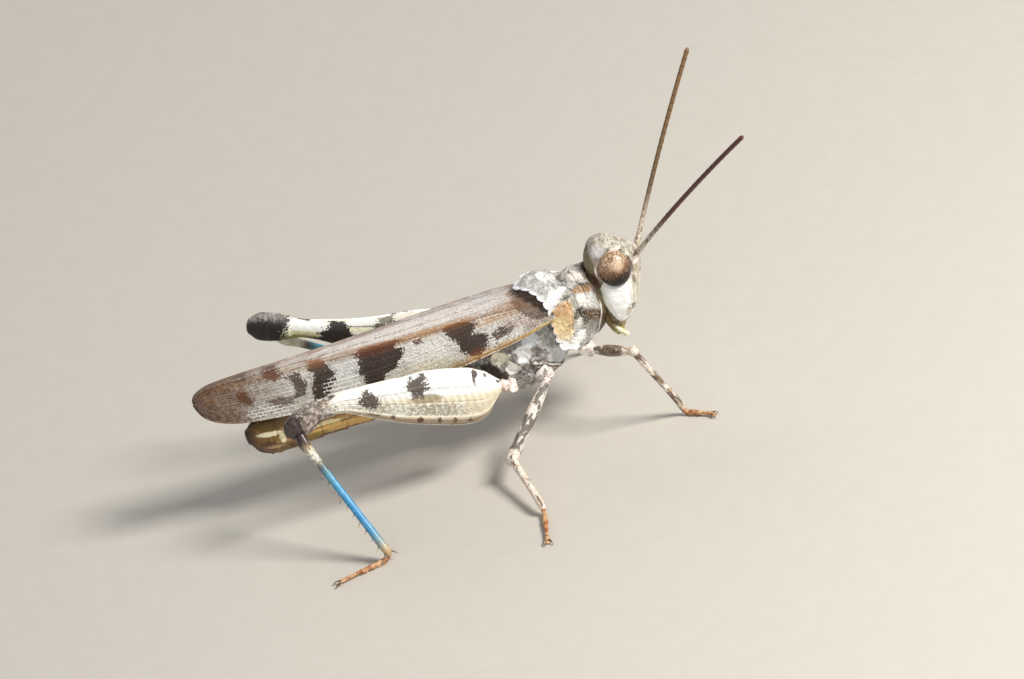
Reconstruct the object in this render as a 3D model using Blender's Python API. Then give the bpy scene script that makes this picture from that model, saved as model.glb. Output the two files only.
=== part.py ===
# Band-winged grasshopper, adult, standing: a still, life-size model.
# The head points along +X, the animal's left is +Y, and the feet stand on z = 0.
# Every size below is in millimetres. Each named piece is one closed solid.

import math

import bmesh
import bpy
from mathutils import Matrix, Vector

MM = 0.001
GAP = 0.1            # clearance between neighbouring pieces
SHEET = 0.5          # thickness of wing covers and of the pronotum's plate
SHARP_ANGLE = 40.0   # edges sharper than this, in degrees, stay crisp
SIDES = (("right", -1.0), ("left", 1.0))

# Trunk
THORAX_FRONT_X = 3.7
THORAX_REAR_X = -1.45
ABDOMEN_CUTS_X = (-1.55, -5.2, -9.0, -12.0, -14.3)

# Pronotum
PRONOTUM_FRONT_X = 6.0
PRONOTUM_TIP_X = 2.13
PRONOTUM_CORNER_X = 3.85    # where the hind edge meets the side lobe
PRONOTUM_HALF_WIDTH = 1.62
PRONOTUM_SIDE_TOP_Z = 7.75
PRONOTUM_LOBE_Z = 5.25

# Wing covers
WING_ROOT_X = 3.5
WING_TIP_X = -16.5

# Head
EYE_CENTRE = (7.78, 0.88, 9.2)
EYE_RADII = (0.9, 0.68, 1.03)
EYE_LEAN = 15.0      # degrees by which each eye's top leans towards the other
ANTENNA_BASE = (9.28, 0.42, 9.5)
ANTENNA_RADIUS = 0.25

# Joints of each leg: centre of the coxa, knee, ankle, and the claw tip on the floor.
# The hind tibiae hang from the lower lobe of the knee.
LEGS = {
    "front_right": {"coxa": (5.05, -1.15, 4.75), "knee": (7.45, -3.0, 5.05),
                    "ankle": (9.0, -2.7, 0.66), "toe": (10.75, -3.8)},
    "front_left": {"coxa": (5.05, 1.15, 4.75), "knee": (5.4, 4.05, 4.9),
                   "ankle": (4.2, 6.0, 0.66), "toe": (4.75, 8.0)},
    "middle_right": {"coxa": (2.6, -1.4, 4.1), "knee": (-0.57, -4.5, 1.55),
                     "ankle": (0.5, -8.4, 0.66), "toe": (0.42, -11.5)},
    "middle_left": {"coxa": (2.6, 1.4, 4.1), "knee": (-0.4, 4.6, 1.75),
                    "ankle": (0.7, 8.4, 0.66), "toe": (0.5, 11.5)},
    "hind_right": {"coxa": (0.6, -1.45, 4.6), "knee": (-11.1, -4.2, 7.38),
                   "tibia_top": (-11.0, -4.66, 6.5), "ankle": (-8.24, -8.5, 0.66), "toe": (-11.5, -9.5)},
    "hind_left": {"coxa": (0.6, 1.45, 4.6), "knee": (-11.8, 4.0, 8.86),
                  "tibia_top": (-11.2, 4.1, 7.6), "ankle": (-3.6, 6.4, 0.66), "toe": (-6.8, 7.5)},
}
COXA_RADIUS = {"front": 0.5, "middle": 0.55, "hind": 0.62}
FEMUR_RADIUS = {"front": (0.3, 0.42, 0.3), "middle": (0.3, 0.45, 0.32)}
TIBIA_RADIUS = {"front": 0.25, "middle": 0.25, "hind": 0.26}
KNEE_CLEARANCE = 0.45    # from a slim leg's knee to the top of its tibia
TARSUS_HEIGHT = 0.45
TARSUS_HALF_WIDTH = 0.26
HEEL_LENGTH = 0.28        # of the foot behind its ankle

# Antennae: far ends and how far each bows off the straight line
ANTENNA_TIPS = {"right": (16.76, -3.7, 16.6), "left": (15.0, 4.0, 18.3)}
ANTENNA_BOW = {"right": (-0.12, 0.0, 0.1), "left": (-0.08, 0.15, 0.0)}

# Finish of each kind of piece: base colour, roughness
FINISHES = {
    "cuticle_grey": ((0.55, 0.52, 0.48), 0.62),
    "cuticle_cream": ((0.80, 0.75, 0.63), 0.55),
    "pronotum_grey": ((0.60, 0.57, 0.53), 0.68),
    "wing_grey": ((0.58, 0.52, 0.47), 0.50),
    "eye_brown": ((0.20, 0.11, 0.06), 0.22),
    "antenna_brown": ((0.22, 0.09, 0.06), 0.45),
    "mouth_olive": ((0.50, 0.45, 0.20), 0.50),
    "abdomen_ochre": ((0.62, 0.48, 0.24), 0.45),
    "femur_white": ((0.82, 0.78, 0.68), 0.50),
    "leg_speckled": ((0.70, 0.64, 0.58), 0.55),
    "tibia_blue": ((0.05, 0.35, 0.62), 0.40),
    "tarsus_orange": ((0.65, 0.35, 0.15), 0.50),
}


# ---------------------------------------------------------------- helpers

def clear_scene():
    for item in list(bpy.data.objects):
        bpy.data.objects.remove(item, do_unlink=True)


def finish_material(name, finish):
    colour, roughness = FINISHES[finish]
    material = bpy.data.materials.new(name)
    material.use_nodes = True
    shader = material.node_tree.nodes["Principled BSDF"]
    shader.inputs["Base Color"].default_value = (*colour, 1.0)
    shader.inputs["Roughness"].default_value = roughness
    shader.inputs["Metallic"].default_value = 0.0
    return material


def add_object(name, form, finish):
    # Turn a bmesh in millimetres into a finished object in metres.
    bmesh.ops.remove_doubles(form, verts=form.verts, dist=1e-5)
    bmesh.ops.recalc_face_normals(form, faces=form.faces)
    bmesh.ops.scale(form, vec=(MM, MM, MM), verts=form.verts)
    mesh = bpy.data.meshes.new(name)
    form.to_mesh(mesh)
    form.free()
    mesh.shade_smooth()
    mesh.set_sharp_from_angle(angle=math.radians(SHARP_ANGLE))
    item = bpy.data.objects.new(name, mesh)
    bpy.context.collection.objects.link(item)
    if finish:
        mesh.materials.append(finish_material(name, finish))
    return item


def curve_value(x, knots):
    # Value at x of a Catmull-Rom curve through (x, value) knots.
    knots = sorted(knots)
    x = min(max(x, knots[0][0]), knots[-1][0])
    index = 0
    while index < len(knots) - 2 and x > knots[index + 1][0]:
        index += 1
    (x1, p1), (x2, p2) = knots[index], knots[index + 1]
    x0, p0 = knots[max(index - 1, 0)]
    x3, p3 = knots[min(index + 2, len(knots) - 1)]
    m1 = (p2 - p0) / (x2 - x0)
    m2 = (p3 - p1) / (x3 - x1)
    span = x2 - x1
    t = (x - x1) / span
    return ((2 * t**3 - 3 * t**2 + 1) * p1 + (t**3 - 2 * t**2 + t) * span * m1
            + (3 * t**2 - 2 * t**3) * p2 + (t**3 - t**2) * span * m2)


def power_wave(value, power):
    return math.copysign(abs(value) ** power, value)


def lofted(rings):
    # Closed form through equal rings of points, with a face over each end.
    form = bmesh.new()
    grid = [[form.verts.new(point) for point in ring] for ring in rings]
    count = len(grid[0])
    for near, far in zip(grid, grid[1:]):
        for i in range(count):
            j = (i + 1) % count
            form.faces.new((near[i], near[j], far[j], far[i]))
    form.faces.new(list(reversed(grid[0])))
    form.faces.new(grid[-1])
    return form


def slab(outer, inner):
    # Closed sheet between two equal grids of points, joined round the border.
    form = bmesh.new()
    top = [[form.verts.new(point) for point in row] for row in outer]
    base = [[form.verts.new(point) for point in row] for row in inner]
    rows, columns = len(top), len(top[0])
    for r in range(rows - 1):
        for c in range(columns - 1):
            form.faces.new((top[r][c], top[r][c + 1], top[r + 1][c + 1], top[r + 1][c]))
            form.faces.new((base[r][c], base[r + 1][c], base[r + 1][c + 1], base[r][c + 1]))
    border = [(0, c) for c in range(columns)]
    border += [(r, columns - 1) for r in range(1, rows)]
    border += [(rows - 1, c) for c in range(columns - 2, -1, -1)]
    border += [(r, 0) for r in range(rows - 2, 0, -1)]
    for (r0, c0), (r1, c1) in zip(border, border[1:] + border[:1]):
        form.faces.new((top[r0][c0], base[r0][c0], base[r1][c1], top[r1][c1]))
    return form


def swept(points, radii, sides=8):
    # Rounded tube along points. A radius may be one number or (across, up).
    path = [Vector(point) for point in points]
    across = None
    rings = []
    for index, centre in enumerate(path):
        ahead = path[min(index + 1, len(path) - 1)] - path[max(index - 1, 0)]
        ahead.normalize()
        if across is None:
            across = ahead.cross(Vector((0.0, 0.0, 1.0)))
            if across.length < 0.05:
                across = Vector((0.0, 1.0, 0.0))
        across = (across - ahead * across.dot(ahead)).normalized()
        up = across.cross(ahead)
        radius = radii[index]
        wide, tall = radius if isinstance(radius, tuple) else (radius, radius)
        turn = [2.0 * math.pi * i / sides for i in range(sides)]
        rings.append([centre + across * wide * math.cos(a) + up * tall * math.sin(a) for a in turn])
    return lofted(rings)


def ball(centre, radii, turn=None, columns=12, rows=8):
    form = bmesh.new()
    bmesh.ops.create_uvsphere(form, u_segments=columns, v_segments=rows, radius=1.0)
    place = Matrix.Translation(centre) @ (turn or Matrix.Identity(4)) @ Matrix.Diagonal((*radii, 1.0))
    bmesh.ops.transform(form, matrix=place, verts=form.verts)
    return form


def cut_with(item, cutter):
    cutter.hide_render = True
    cutter.display_type = "WIRE"
    cut = item.modifiers.new("cut " + cutter.name, "BOOLEAN")
    cut.operation = "DIFFERENCE"
    cut.solver = "EXACT"
    cut.object = cutter


# ---------------------------------------------------------------- head

# Height, rear x, front x and half width of the head's level sections, mouth to crown
HEAD_SECTIONS = (
    (5.36, 6.85, 7.35, 0.45), (5.55, 6.72, 7.66, 0.75), (5.9, 6.62, 8.02, 1.0),
    (6.5, 6.55, 8.42, 1.22), (7.3, 6.5, 8.74, 1.34), (8.1, 6.42, 9.0, 1.28),
    (8.8, 6.3, 9.2, 1.12), (9.35, 6.2, 9.2, 1.0), (9.8, 6.28, 8.9, 0.9),
    (10.25, 6.48, 8.42, 0.8), (10.6, 6.72, 7.98, 0.62), (10.8, 6.98, 7.6, 0.32),
)
HEAD_SIDES = 18
HEAD_SQUARENESS = 0.85   # below 1, level sections fill out towards a box
FACE_TAPER = 0.14        # narrowing of the face compared with the back of the head


def head_ring(height, rear, front, half_width):
    centre, half_depth = (rear + front) / 2.0, (front - rear) / 2.0
    ring = []
    for i in range(HEAD_SIDES):
        angle = 2.0 * math.pi * i / HEAD_SIDES
        forward = math.cos(angle)
        x = centre + half_depth * power_wave(forward, HEAD_SQUARENESS)
        y = half_width * power_wave(math.sin(angle), HEAD_SQUARENESS) * (1.0 - FACE_TAPER * forward)
        ring.append((x, y, height))
    return ring


def side_point(point, side):
    return (point[0], point[1] * side, point[2])


def eye_form(side, extra=0.0):
    lean = Matrix.Rotation(math.radians(EYE_LEAN) * side, 4, "X")
    radii = [radius + extra for radius in EYE_RADII]
    return ball(side_point(EYE_CENTRE, side), radii, turn=lean, columns=16, rows=10)


def make_head():
    head = add_object("head", lofted([head_ring(*section) for section in HEAD_SECTIONS]), "cuticle_grey")
    for name, side in SIDES:
        cut_with(head, add_object("eye_socket_" + name, eye_form(side, GAP), None))
        add_object("eye_" + name, eye_form(side), "eye_brown")


def make_mouthparts():
    rings = []
    for height, rear, front, half_width in ((5.24, 6.7, 7.35, 0.42), (4.95, 6.6, 7.25, 0.44),
                                            (4.65, 6.62, 7.05, 0.34)):
        rings.append(head_ring(height, rear, front, half_width))
    add_object("mouthparts", lofted(rings), "mouth_olive")
    for name, side in SIDES:
        path = ((6.72, 0.78 * side, 5.28), (7.1, 0.82 * side, 5.1), (7.25, 0.8 * side, 4.8),
                (7.0, 0.76 * side, 4.5))
        add_object("palp_" + name, swept(path, (0.2, 0.25, 0.25, 0.18), sides=6), "mouth_olive")


def make_antennae():
    for name, side in SIDES:
        base = Vector(side_point(ANTENNA_BASE, side))
        tip = Vector(ANTENNA_TIPS[name])
        bow = Vector(ANTENNA_BOW[name])
        shares = (0.0, 0.03, 0.06, 0.12, 0.25, 0.4, 0.55, 0.7, 0.85, 0.97, 1.0)
        widths = (0.8, 1.25, 1.15, 1.0, 1.0, 1.0, 1.0, 1.0, 0.97, 0.9, 0.5)
        path = [base.lerp(tip, t) + bow * 4.0 * t * (1.0 - t) for t in shares]
        radii = [ANTENNA_RADIUS * width for width in widths]
        add_object("antenna_" + name, swept(path, radii, sides=8), "antenna_brown")


# ---------------------------------------------------------------- pronotum and trunk

DISC_HEIGHT = ((6.05, 9.2), (5.4, 9.28), (4.65, 9.08), (3.8, 9.5), (2.9, 9.48), (2.13, 9.12))
PRONOTUM_ROWS = 11
PRONOTUM_COLUMNS = 17
SHOULDER_SHARE = 0.58   # share of the section's path from crown to the widest point


def hind_margin_x(y):
    # The plate's hind edge runs back to a blunt point on the midline.
    return PRONOTUM_TIP_X + 1.07 * (math.hypot(y, 0.2) - 0.2)


def pronotum_point(row, column, inset):
    along = row / (PRONOTUM_ROWS - 1)
    place = 2.0 * column / (PRONOTUM_COLUMNS - 1) - 1.0
    side, share = math.copysign(1.0, place), abs(place)
    half_width = PRONOTUM_HALF_WIDTH * (1.0 - 0.1 * math.sin(math.pi * min(along * 1.6, 1.0)))
    half_width *= 0.9 + 0.1 * min(along * 2.0, 1.0)
    if share <= SHOULDER_SHARE:
        angle = share / SHOULDER_SHARE * math.pi / 2.0
        outward = math.sin(angle) ** 0.9
        rise = math.cos(angle) ** 0.8 if angle < math.pi / 2.0 - 1e-6 else 0.0
        drop = 0.0
    else:
        outward, rise = 1.0, 0.0
        drop = (share - SHOULDER_SHARE) / (1.0 - SHOULDER_SHARE)
    y = (half_width - inset) * outward * (1.0 - 0.08 * drop)
    front_x = PRONOTUM_FRONT_X + 0.38 * math.sin(math.pi * min(share * 1.1, 1.0)) - 0.35 * drop**2
    rear_x = min(hind_margin_x(y * half_width / (half_width - inset)), PRONOTUM_CORNER_X) + 0.5 * drop**2
    x = front_x + (rear_x - front_x) * along
    crown_z = curve_value(x, DISC_HEIGHT) - inset
    z = PRONOTUM_SIDE_TOP_Z + (crown_z - PRONOTUM_SIDE_TOP_Z) * rise
    z -= (PRONOTUM_SIDE_TOP_Z - PRONOTUM_LOBE_Z) * drop * (0.9 + 0.1 * math.sin(math.pi * along))
    return (x, side * y, z)


def make_pronotum():
    grids = []
    for inset in (0.0, SHEET):
        grids.append([[pronotum_point(row, column, inset) for column in range(PRONOTUM_COLUMNS)]
                      for row in range(PRONOTUM_ROWS)])
    add_object("pronotum", slab(*grids), "pronotum_grey")


def trunk_ring(x, widest_z, half_width, top_z, bottom_z, sides=14):
    ring = []
    for i in range(sides):
        angle = 2.0 * math.pi * i / sides
        up = math.sin(angle)
        reach = top_z - widest_z if up > 0.0 else widest_z - bottom_z
        ring.append((x, half_width * power_wave(math.cos(angle), 0.85), widest_z + reach * power_wave(up, 0.95)))
    return ring


def make_prothorax():
    sections = ((3.85, 6.5, 0.76, 7.9, 4.9), (4.6, 6.5, 0.8, 8.0, 4.95), (5.4, 6.6, 0.8, 8.1, 5.1),
                (6.1, 6.8, 0.72, 8.1, 5.5))
    prothorax = add_object("prothorax", lofted([trunk_ring(*section) for section in sections]), "cuticle_grey")
    cut_coxa_sockets(prothorax, "front")


def make_thorax():
    sections = ((THORAX_FRONT_X, 5.9, 1.1, 7.6, 4.75), (2.9, 5.7, 1.42, 7.9, 4.35),
                (1.6, 5.6, 1.5, 7.9, 4.15), (0.2, 5.6, 1.48, 7.8, 4.15), (-0.8, 5.6, 1.4, 7.75, 4.05),
                (THORAX_REAR_X, 5.6, 1.3, 7.5, 4.0))
    thorax = add_object("thorax", lofted([trunk_ring(*section) for section in sections]), "cuticle_grey")
    cut_coxa_sockets(thorax, "middle")
    cut_coxa_sockets(thorax, "hind")


ABDOMEN_WIDEST = ((-1.5, 5.6), (-6.0, 5.25), (-10.0, 4.95), (-13.0, 4.85), (-14.3, 5.1))
ABDOMEN_WIDTH = ((-1.5, 1.3), (-6.0, 1.22), (-10.0, 1.05), (-12.5, 0.9), (-13.6, 0.7), (-14.3, 0.3))
ABDOMEN_TOP = ((-1.5, 7.4), (-6.0, 7.0), (-10.0, 6.35), (-12.5, 6.0), (-13.6, 5.85), (-14.3, 5.45))
ABDOMEN_BOTTOM = ((-1.5, 4.0), (-6.0, 3.85), (-10.0, 3.7), (-12.5, 3.42), (-13.6, 3.75), (-14.3, 4.7))
ABDOMEN_NAMES = ("abdomen_front", "abdomen_middle", "abdomen_rear", "abdomen_tip")


def abdomen_ring(x):
    return trunk_ring(x, curve_value(x, ABDOMEN_WIDEST), curve_value(x, ABDOMEN_WIDTH),
                      curve_value(x, ABDOMEN_TOP), curve_value(x, ABDOMEN_BOTTOM))


def make_abdomen():
    steps = 4
    for name, front, rear in zip(ABDOMEN_NAMES, ABDOMEN_CUTS_X, ABDOMEN_CUTS_X[1:]):
        start = front if name == ABDOMEN_NAMES[0] else front - GAP
        rings = [abdomen_ring(start + (rear - start) * i / steps) for i in range(steps + 1)]
        add_object(name, lofted(rings), "abdomen_ochre")
    for name, side in SIDES:
        path = ((-13.55, 0.3 * side, 6.1), (-14.0, 0.42 * side, 6.0), (-14.5, 0.5 * side, 5.8))
        add_object("cercus_" + name, swept(path, (0.2, 0.2, 0.1), sides=6), "cuticle_cream")


# ---------------------------------------------------------------- wings

WING_TOP = ((WING_ROOT_X, 9.0), (1.5, 8.98), (-3.0, 8.82), (-8.0, 8.72), (-13.0, 8.7), (-15.2, 8.58),
            (-16.1, 8.27), (WING_TIP_X, 8.0))
FOLD_Y = ((WING_ROOT_X, 1.3), (1.0, 1.2), (-2.5, 1.15), (-6.0, 0.95), (-10.0, 0.65), (-14.0, 0.5), (WING_TIP_X, 0.42))
FOLD_Z = ((WING_ROOT_X, 8.25), (2.0, 8.66), (0.5, 8.74), (-2.5, 8.68), (-6.0, 8.62), (-10.0, 8.6), (-14.0, 8.52),
          (-15.8, 8.2), (WING_TIP_X, 7.9))
EDGE_Y = ((WING_ROOT_X, 1.85), (1.0, 2.0), (-3.0, 2.0), (-7.0, 1.75), (-11.0, 1.3), (-14.0, 0.9), (WING_TIP_X, 0.5))
EDGE_Z = ((WING_ROOT_X, 7.45), (0.5, 6.8), (-3.0, 6.35), (-7.0, 6.15), (-11.0, 6.2), (-13.2, 6.25), (-14.6, 6.4),
          (-15.5, 6.7), (-16.2, 7.2), (WING_TIP_X, 7.6))
WING_STATIONS = 15
ROOF_POINTS = 4      # across the folded back part of a wing cover
FLANK_POINTS = 6     # down its side
ROOF_CURVE = 1.6
FLANK_BULGE = 0.1


def wing_line(x, side, top_z, fold_y, fold_z, edge_y, edge_z):
    # Cross line of a folded wing cover at x, from the midline down to its fore edge.
    middle_y = GAP / 2.0
    line = []
    for i in range(ROOF_POINTS):
        share = i / ROOF_POINTS
        line.append((x, side * (middle_y + (fold_y - middle_y) * share),
                     top_z + (fold_z - top_z) * share**ROOF_CURVE))
    for i in range(FLANK_POINTS + 1):
        share = i / FLANK_POINTS
        bulge = FLANK_BULGE * math.sin(math.pi * share)
        line.append((x, side * (fold_y + (edge_y - fold_y) * share + bulge),
                     fold_z + (edge_z - fold_z) * share))
    return line


def wing_section(x, side):
    # Outer and inner lines; towards the tip the sheet closes into a solid wedge.
    top_z, fold_y, fold_z = curve_value(x, WING_TOP), curve_value(x, FOLD_Y), curve_value(x, FOLD_Z)
    edge_y, edge_z = curve_value(x, EDGE_Y), curve_value(x, EDGE_Z)
    sheet = min(SHEET, 0.4 * (top_z - edge_z))
    inner_fold_y = max(fold_y - SHEET, GAP)
    inner_edge_y = max(edge_y - SHEET, GAP * 1.5)
    outer = wing_line(x, side, top_z, fold_y, fold_z, edge_y, edge_z)
    inner = wing_line(x, side, top_z - sheet, inner_fold_y, fold_z - 0.8 * sheet, inner_edge_y, edge_z)
    return outer, inner


def wing_base_x(y):
    return min(hind_margin_x(abs(y)), PRONOTUM_CORNER_X - GAP) - 1.5 * GAP


def make_tegmen(name, side):
    outer, inner = [], []
    for i in range(WING_STATIONS):
        share = i / (WING_STATIONS - 1)
        share = share * (1.0 + 0.25 * (1.0 - share))     # closer stations near the tip
        line, inset = wing_section(WING_ROOT_X + (WING_TIP_X - WING_ROOT_X) * share, side)
        for row, points in ((outer, line), (inner, inset)):
            spread = []
            for x, y, z in points:
                base = wing_base_x(y)
                spread.append((base + (WING_TIP_X - base) * share, y, z))
            row.append(spread)
    add_object(name, slab(outer, inner), "wing_grey")


def make_wings():
    for name, side in SIDES:
        make_tegmen("tegmen_" + name, side)
        path = ((-1.7, 0.34 * side, 7.7), (-4.0, 0.36 * side, 7.45), (-8.0, 0.36 * side, 7.03),
                (-11.5, 0.36 * side, 6.55))
        radii = ((0.25, 0.12), (0.25, 0.22), (0.25, 0.22), (0.22, 0.15))
        add_object("hindwing_" + name, swept(path, radii, sides=8), "wing_grey")


# ---------------------------------------------------------------- legs

# Share of the length from hip to knee, upward bow, outward bow, half height, half thickness
HIND_FEMUR = ((0.03, 0.1, 0.1, 0.7, 0.34), (0.085, -0.13, 0.22, 1.28, 0.52), (0.2, 0.02, 0.32, 1.7, 0.6),
              (0.36, 0.28, 0.26, 1.66, 0.6), (0.52, 0.45, 0.15, 1.34, 0.52), (0.68, 0.72, 0.04, 0.88, 0.42),
              (0.79, 0.88, 0.0, 0.6, 0.34), (0.87, 0.62, 0.0, 0.7, 0.36), (0.92, 0.3, 0.0, 0.9, 0.44),
              (0.98, 0.0, 0.0, 0.95, 0.46), (1.03, -0.05, 0.0, 0.8, 0.4), (1.07, -0.05, 0.0, 0.45, 0.28))
FEMUR_BOW = {"right": 1.0, "left": 0.1}    # the left femur is seen straighter than the right
FEMUR_SIDES = 12


def make_hind_femur(name, leg, side):
    hip, knee = Vector(leg["coxa"]), Vector(leg["knee"])
    start = hip + Vector((-0.25, 0.75 * side, 0.1))
    ahead = (knee - start).normalized()
    out = Vector((0.0, side, 0.0))
    out = (out - ahead * out.dot(ahead)).normalized()
    up = ahead.cross(out) * -side
    rings = []
    bow = FEMUR_BOW[name.split("_")[1]]
    for share, lift, splay, half_height, half_thick in HIND_FEMUR:
        centre = start + (knee - start) * share + up * lift * bow + out * splay
        ring = []
        for i in range(FEMUR_SIDES):
            angle = 2.0 * math.pi * i / FEMUR_SIDES
            ring.append(centre + up * half_height * power_wave(math.sin(angle), 1.1)
                        + out * half_thick * power_wave(math.cos(angle), 0.9))
        rings.append(ring)
    add_object("femur_" + name, lofted(rings), "femur_white")


def make_slim_femur(name, kind, leg):
    coxa, knee = Vector(leg["coxa"]), Vector(leg["knee"])
    reach = (knee - coxa).length
    start = (COXA_RADIUS[kind] + GAP) / reach
    near, middle, far = FEMUR_RADIUS[kind]
    shares = (start, start + 0.12, 0.5, 0.8, 0.97, 1.0 + 0.22 / reach)
    radii = (near * 0.7, near, middle, far, far * 1.1, far * 0.6)
    path = [coxa.lerp(knee, share) for share in shares]
    add_object("femur_" + name, swept(path, radii, sides=8), "leg_speckled")


def make_tibia(name, kind, leg):
    knee, ankle = Vector(leg["knee"]), Vector(leg["ankle"])
    ahead = (ankle - knee).normalized()
    start = Vector(leg["tibia_top"]) if kind == "hind" else knee + ahead * KNEE_CLEARANCE
    radius = TIBIA_RADIUS[kind]
    path = [start, start.lerp(ankle, 0.06), start.lerp(ankle, 0.5), start.lerp(ankle, 0.94), ankle]
    radii = (radius * 0.8, radius * 1.05, radius, radius * 1.1, radius * 0.8)
    finish = "tibia_blue" if kind == "hind" else "leg_speckled"
    add_object("tibia_" + name, swept(path, radii, sides=8), finish)


def make_tarsus(name, leg):
    # A foot with a flat sole on z = 0, a rounded back and a narrower claw end.
    ankle, toe = Vector(leg["ankle"]), Vector((*leg["toe"], 0.0))
    heel = Vector((ankle.x, ankle.y, 0.0))
    ahead = (toe - heel).normalized()
    across = Vector((-ahead.y, ahead.x, 0.0))
    heel = heel - ahead * HEEL_LENGTH
    rings = []
    for share, width, height in ((0.0, 0.8, 0.7), (0.1, 1.0, 0.9), (0.45, 1.0, 0.9), (0.85, 0.95, 0.95),
                                 (1.0, 0.7, 0.6)):
        centre = heel.lerp(toe, share)
        half, top = TARSUS_HALF_WIDTH * width, TARSUS_HEIGHT * height
        outline = ((-1.0, 0.0), (1.0, 0.0), (1.0, 0.55), (0.55, 1.0), (-0.55, 1.0), (-1.0, 0.55))
        rings.append([centre + across * half * u + Vector((0.0, 0.0, top * v)) for u, v in outline])
    add_object("tarsus_" + name, lofted(rings), "tarsus_orange")


def coxa_form(leg, kind, extra=0.0):
    radius = COXA_RADIUS[kind] + extra
    return ball(leg["coxa"], (radius, radius, radius), columns=10, rows=8)


def cut_coxa_sockets(body, kind):
    for name, _side in SIDES:
        leg_name = kind + "_" + name
        socket = add_object("coxa_socket_" + leg_name, coxa_form(LEGS[leg_name], kind, GAP), None)
        cut_with(body, socket)


def make_legs():
    for name, leg in LEGS.items():
        kind, side_name = name.split("_")
        side = 1.0 if side_name == "left" else -1.0
        add_object("coxa_" + name, coxa_form(leg, kind), "leg_speckled")
        if kind == "hind":
            make_hind_femur(name, leg, side)
        else:
            make_slim_femur(name, kind, leg)
        make_tibia(name, kind, leg)
        make_tarsus(name, leg)


# ---------------------------------------------------------------- assembly

def centre_on_origin():
    # Parent everything to one empty, which brings the middle of the outer box over the origin.
    bpy.context.view_layer.update()
    low, high = Vector((1e9, 1e9, 1e9)), Vector((-1e9, -1e9, -1e9))
    pieces = [item for item in bpy.context.scene.objects if item.type == "MESH"]
    for item in pieces:
        if item.hide_render:
            continue
        for vertex in item.data.vertices:
            low = Vector(map(min, low, vertex.co))
            high = Vector(map(max, high, vertex.co))
    stand = bpy.data.objects.new("stance", None)
    bpy.context.collection.objects.link(stand)
    stand.location = (-(low.x + high.x) / 2.0, -(low.y + high.y) / 2.0, 0.0)
    for item in pieces:
        item.parent = stand


def main():
    clear_scene()
    make_head()
    make_mouthparts()
    make_antennae()
    make_pronotum()
    make_prothorax()
    make_thorax()
    make_abdomen()
    make_wings()
    make_legs()
    centre_on_origin()


main()
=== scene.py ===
import math

import bmesh
import bpy
import numpy as np
from mathutils import Matrix, Vector


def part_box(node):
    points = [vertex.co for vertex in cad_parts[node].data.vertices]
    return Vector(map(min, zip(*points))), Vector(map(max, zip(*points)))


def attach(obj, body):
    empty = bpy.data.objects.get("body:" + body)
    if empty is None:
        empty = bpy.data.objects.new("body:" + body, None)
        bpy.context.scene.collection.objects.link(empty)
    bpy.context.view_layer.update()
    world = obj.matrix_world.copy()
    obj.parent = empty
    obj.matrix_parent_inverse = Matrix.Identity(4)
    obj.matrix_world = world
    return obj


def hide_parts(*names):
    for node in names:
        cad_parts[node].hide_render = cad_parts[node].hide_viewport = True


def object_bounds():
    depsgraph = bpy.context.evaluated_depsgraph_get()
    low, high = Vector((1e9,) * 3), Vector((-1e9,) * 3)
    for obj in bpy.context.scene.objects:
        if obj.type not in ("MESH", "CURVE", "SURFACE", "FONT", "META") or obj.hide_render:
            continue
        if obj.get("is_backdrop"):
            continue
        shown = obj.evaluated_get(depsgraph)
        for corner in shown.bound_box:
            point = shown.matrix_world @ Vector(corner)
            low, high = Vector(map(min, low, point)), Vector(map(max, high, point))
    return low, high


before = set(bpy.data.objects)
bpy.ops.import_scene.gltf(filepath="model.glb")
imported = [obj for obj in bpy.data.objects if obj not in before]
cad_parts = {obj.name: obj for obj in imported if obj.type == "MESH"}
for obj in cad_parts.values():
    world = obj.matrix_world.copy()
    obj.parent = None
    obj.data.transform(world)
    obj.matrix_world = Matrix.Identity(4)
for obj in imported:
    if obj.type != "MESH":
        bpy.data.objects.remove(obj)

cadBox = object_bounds()
mm = 0.001

# The drawing has its zero under the chest; the frame has it under the middle of the whole box.
wingTipX = -16.5
tipLow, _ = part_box("tegmen_right")
headLow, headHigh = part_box("head")
shift = np.array([tipLow.x / mm - wingTipX, (headLow.y + headHigh.y) / 2 / mm, 0])
bothSides = (("right", -1), ("left", 1))
flatReach = 20    # mm of a limb to one unit of its flat coordinate
fullTurn = 2 * math.pi
closing = np.array([0, 0.45, 0.75, 0.93])    # sizes of the rings that round off an end


def newObject(name, data):
    made = bpy.data.objects.new(name, data)
    bpy.context.scene.collection.objects.link(made)
    return made


def newMesh(name, points, edges=(), faces=()):
    # a mesh in the frame from points of the drawing
    mesh = bpy.data.meshes.new(name)
    mesh.from_pydata(((np.array(points) + shift) * mm).tolist(), list(edges), list(faces))
    return mesh


def writeValues(mesh, values):
    # a number or a direction for each point
    for label, given in values.items():
        given = np.array(given, np.float32)
        kind, field = ("FLOAT_VECTOR", "vector") if given.ndim > 1 else ("FLOAT", "value")
        mesh.attributes.new(label, kind, "POINT").data.foreach_set(field, given.ravel())


# small tools for shapes

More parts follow.
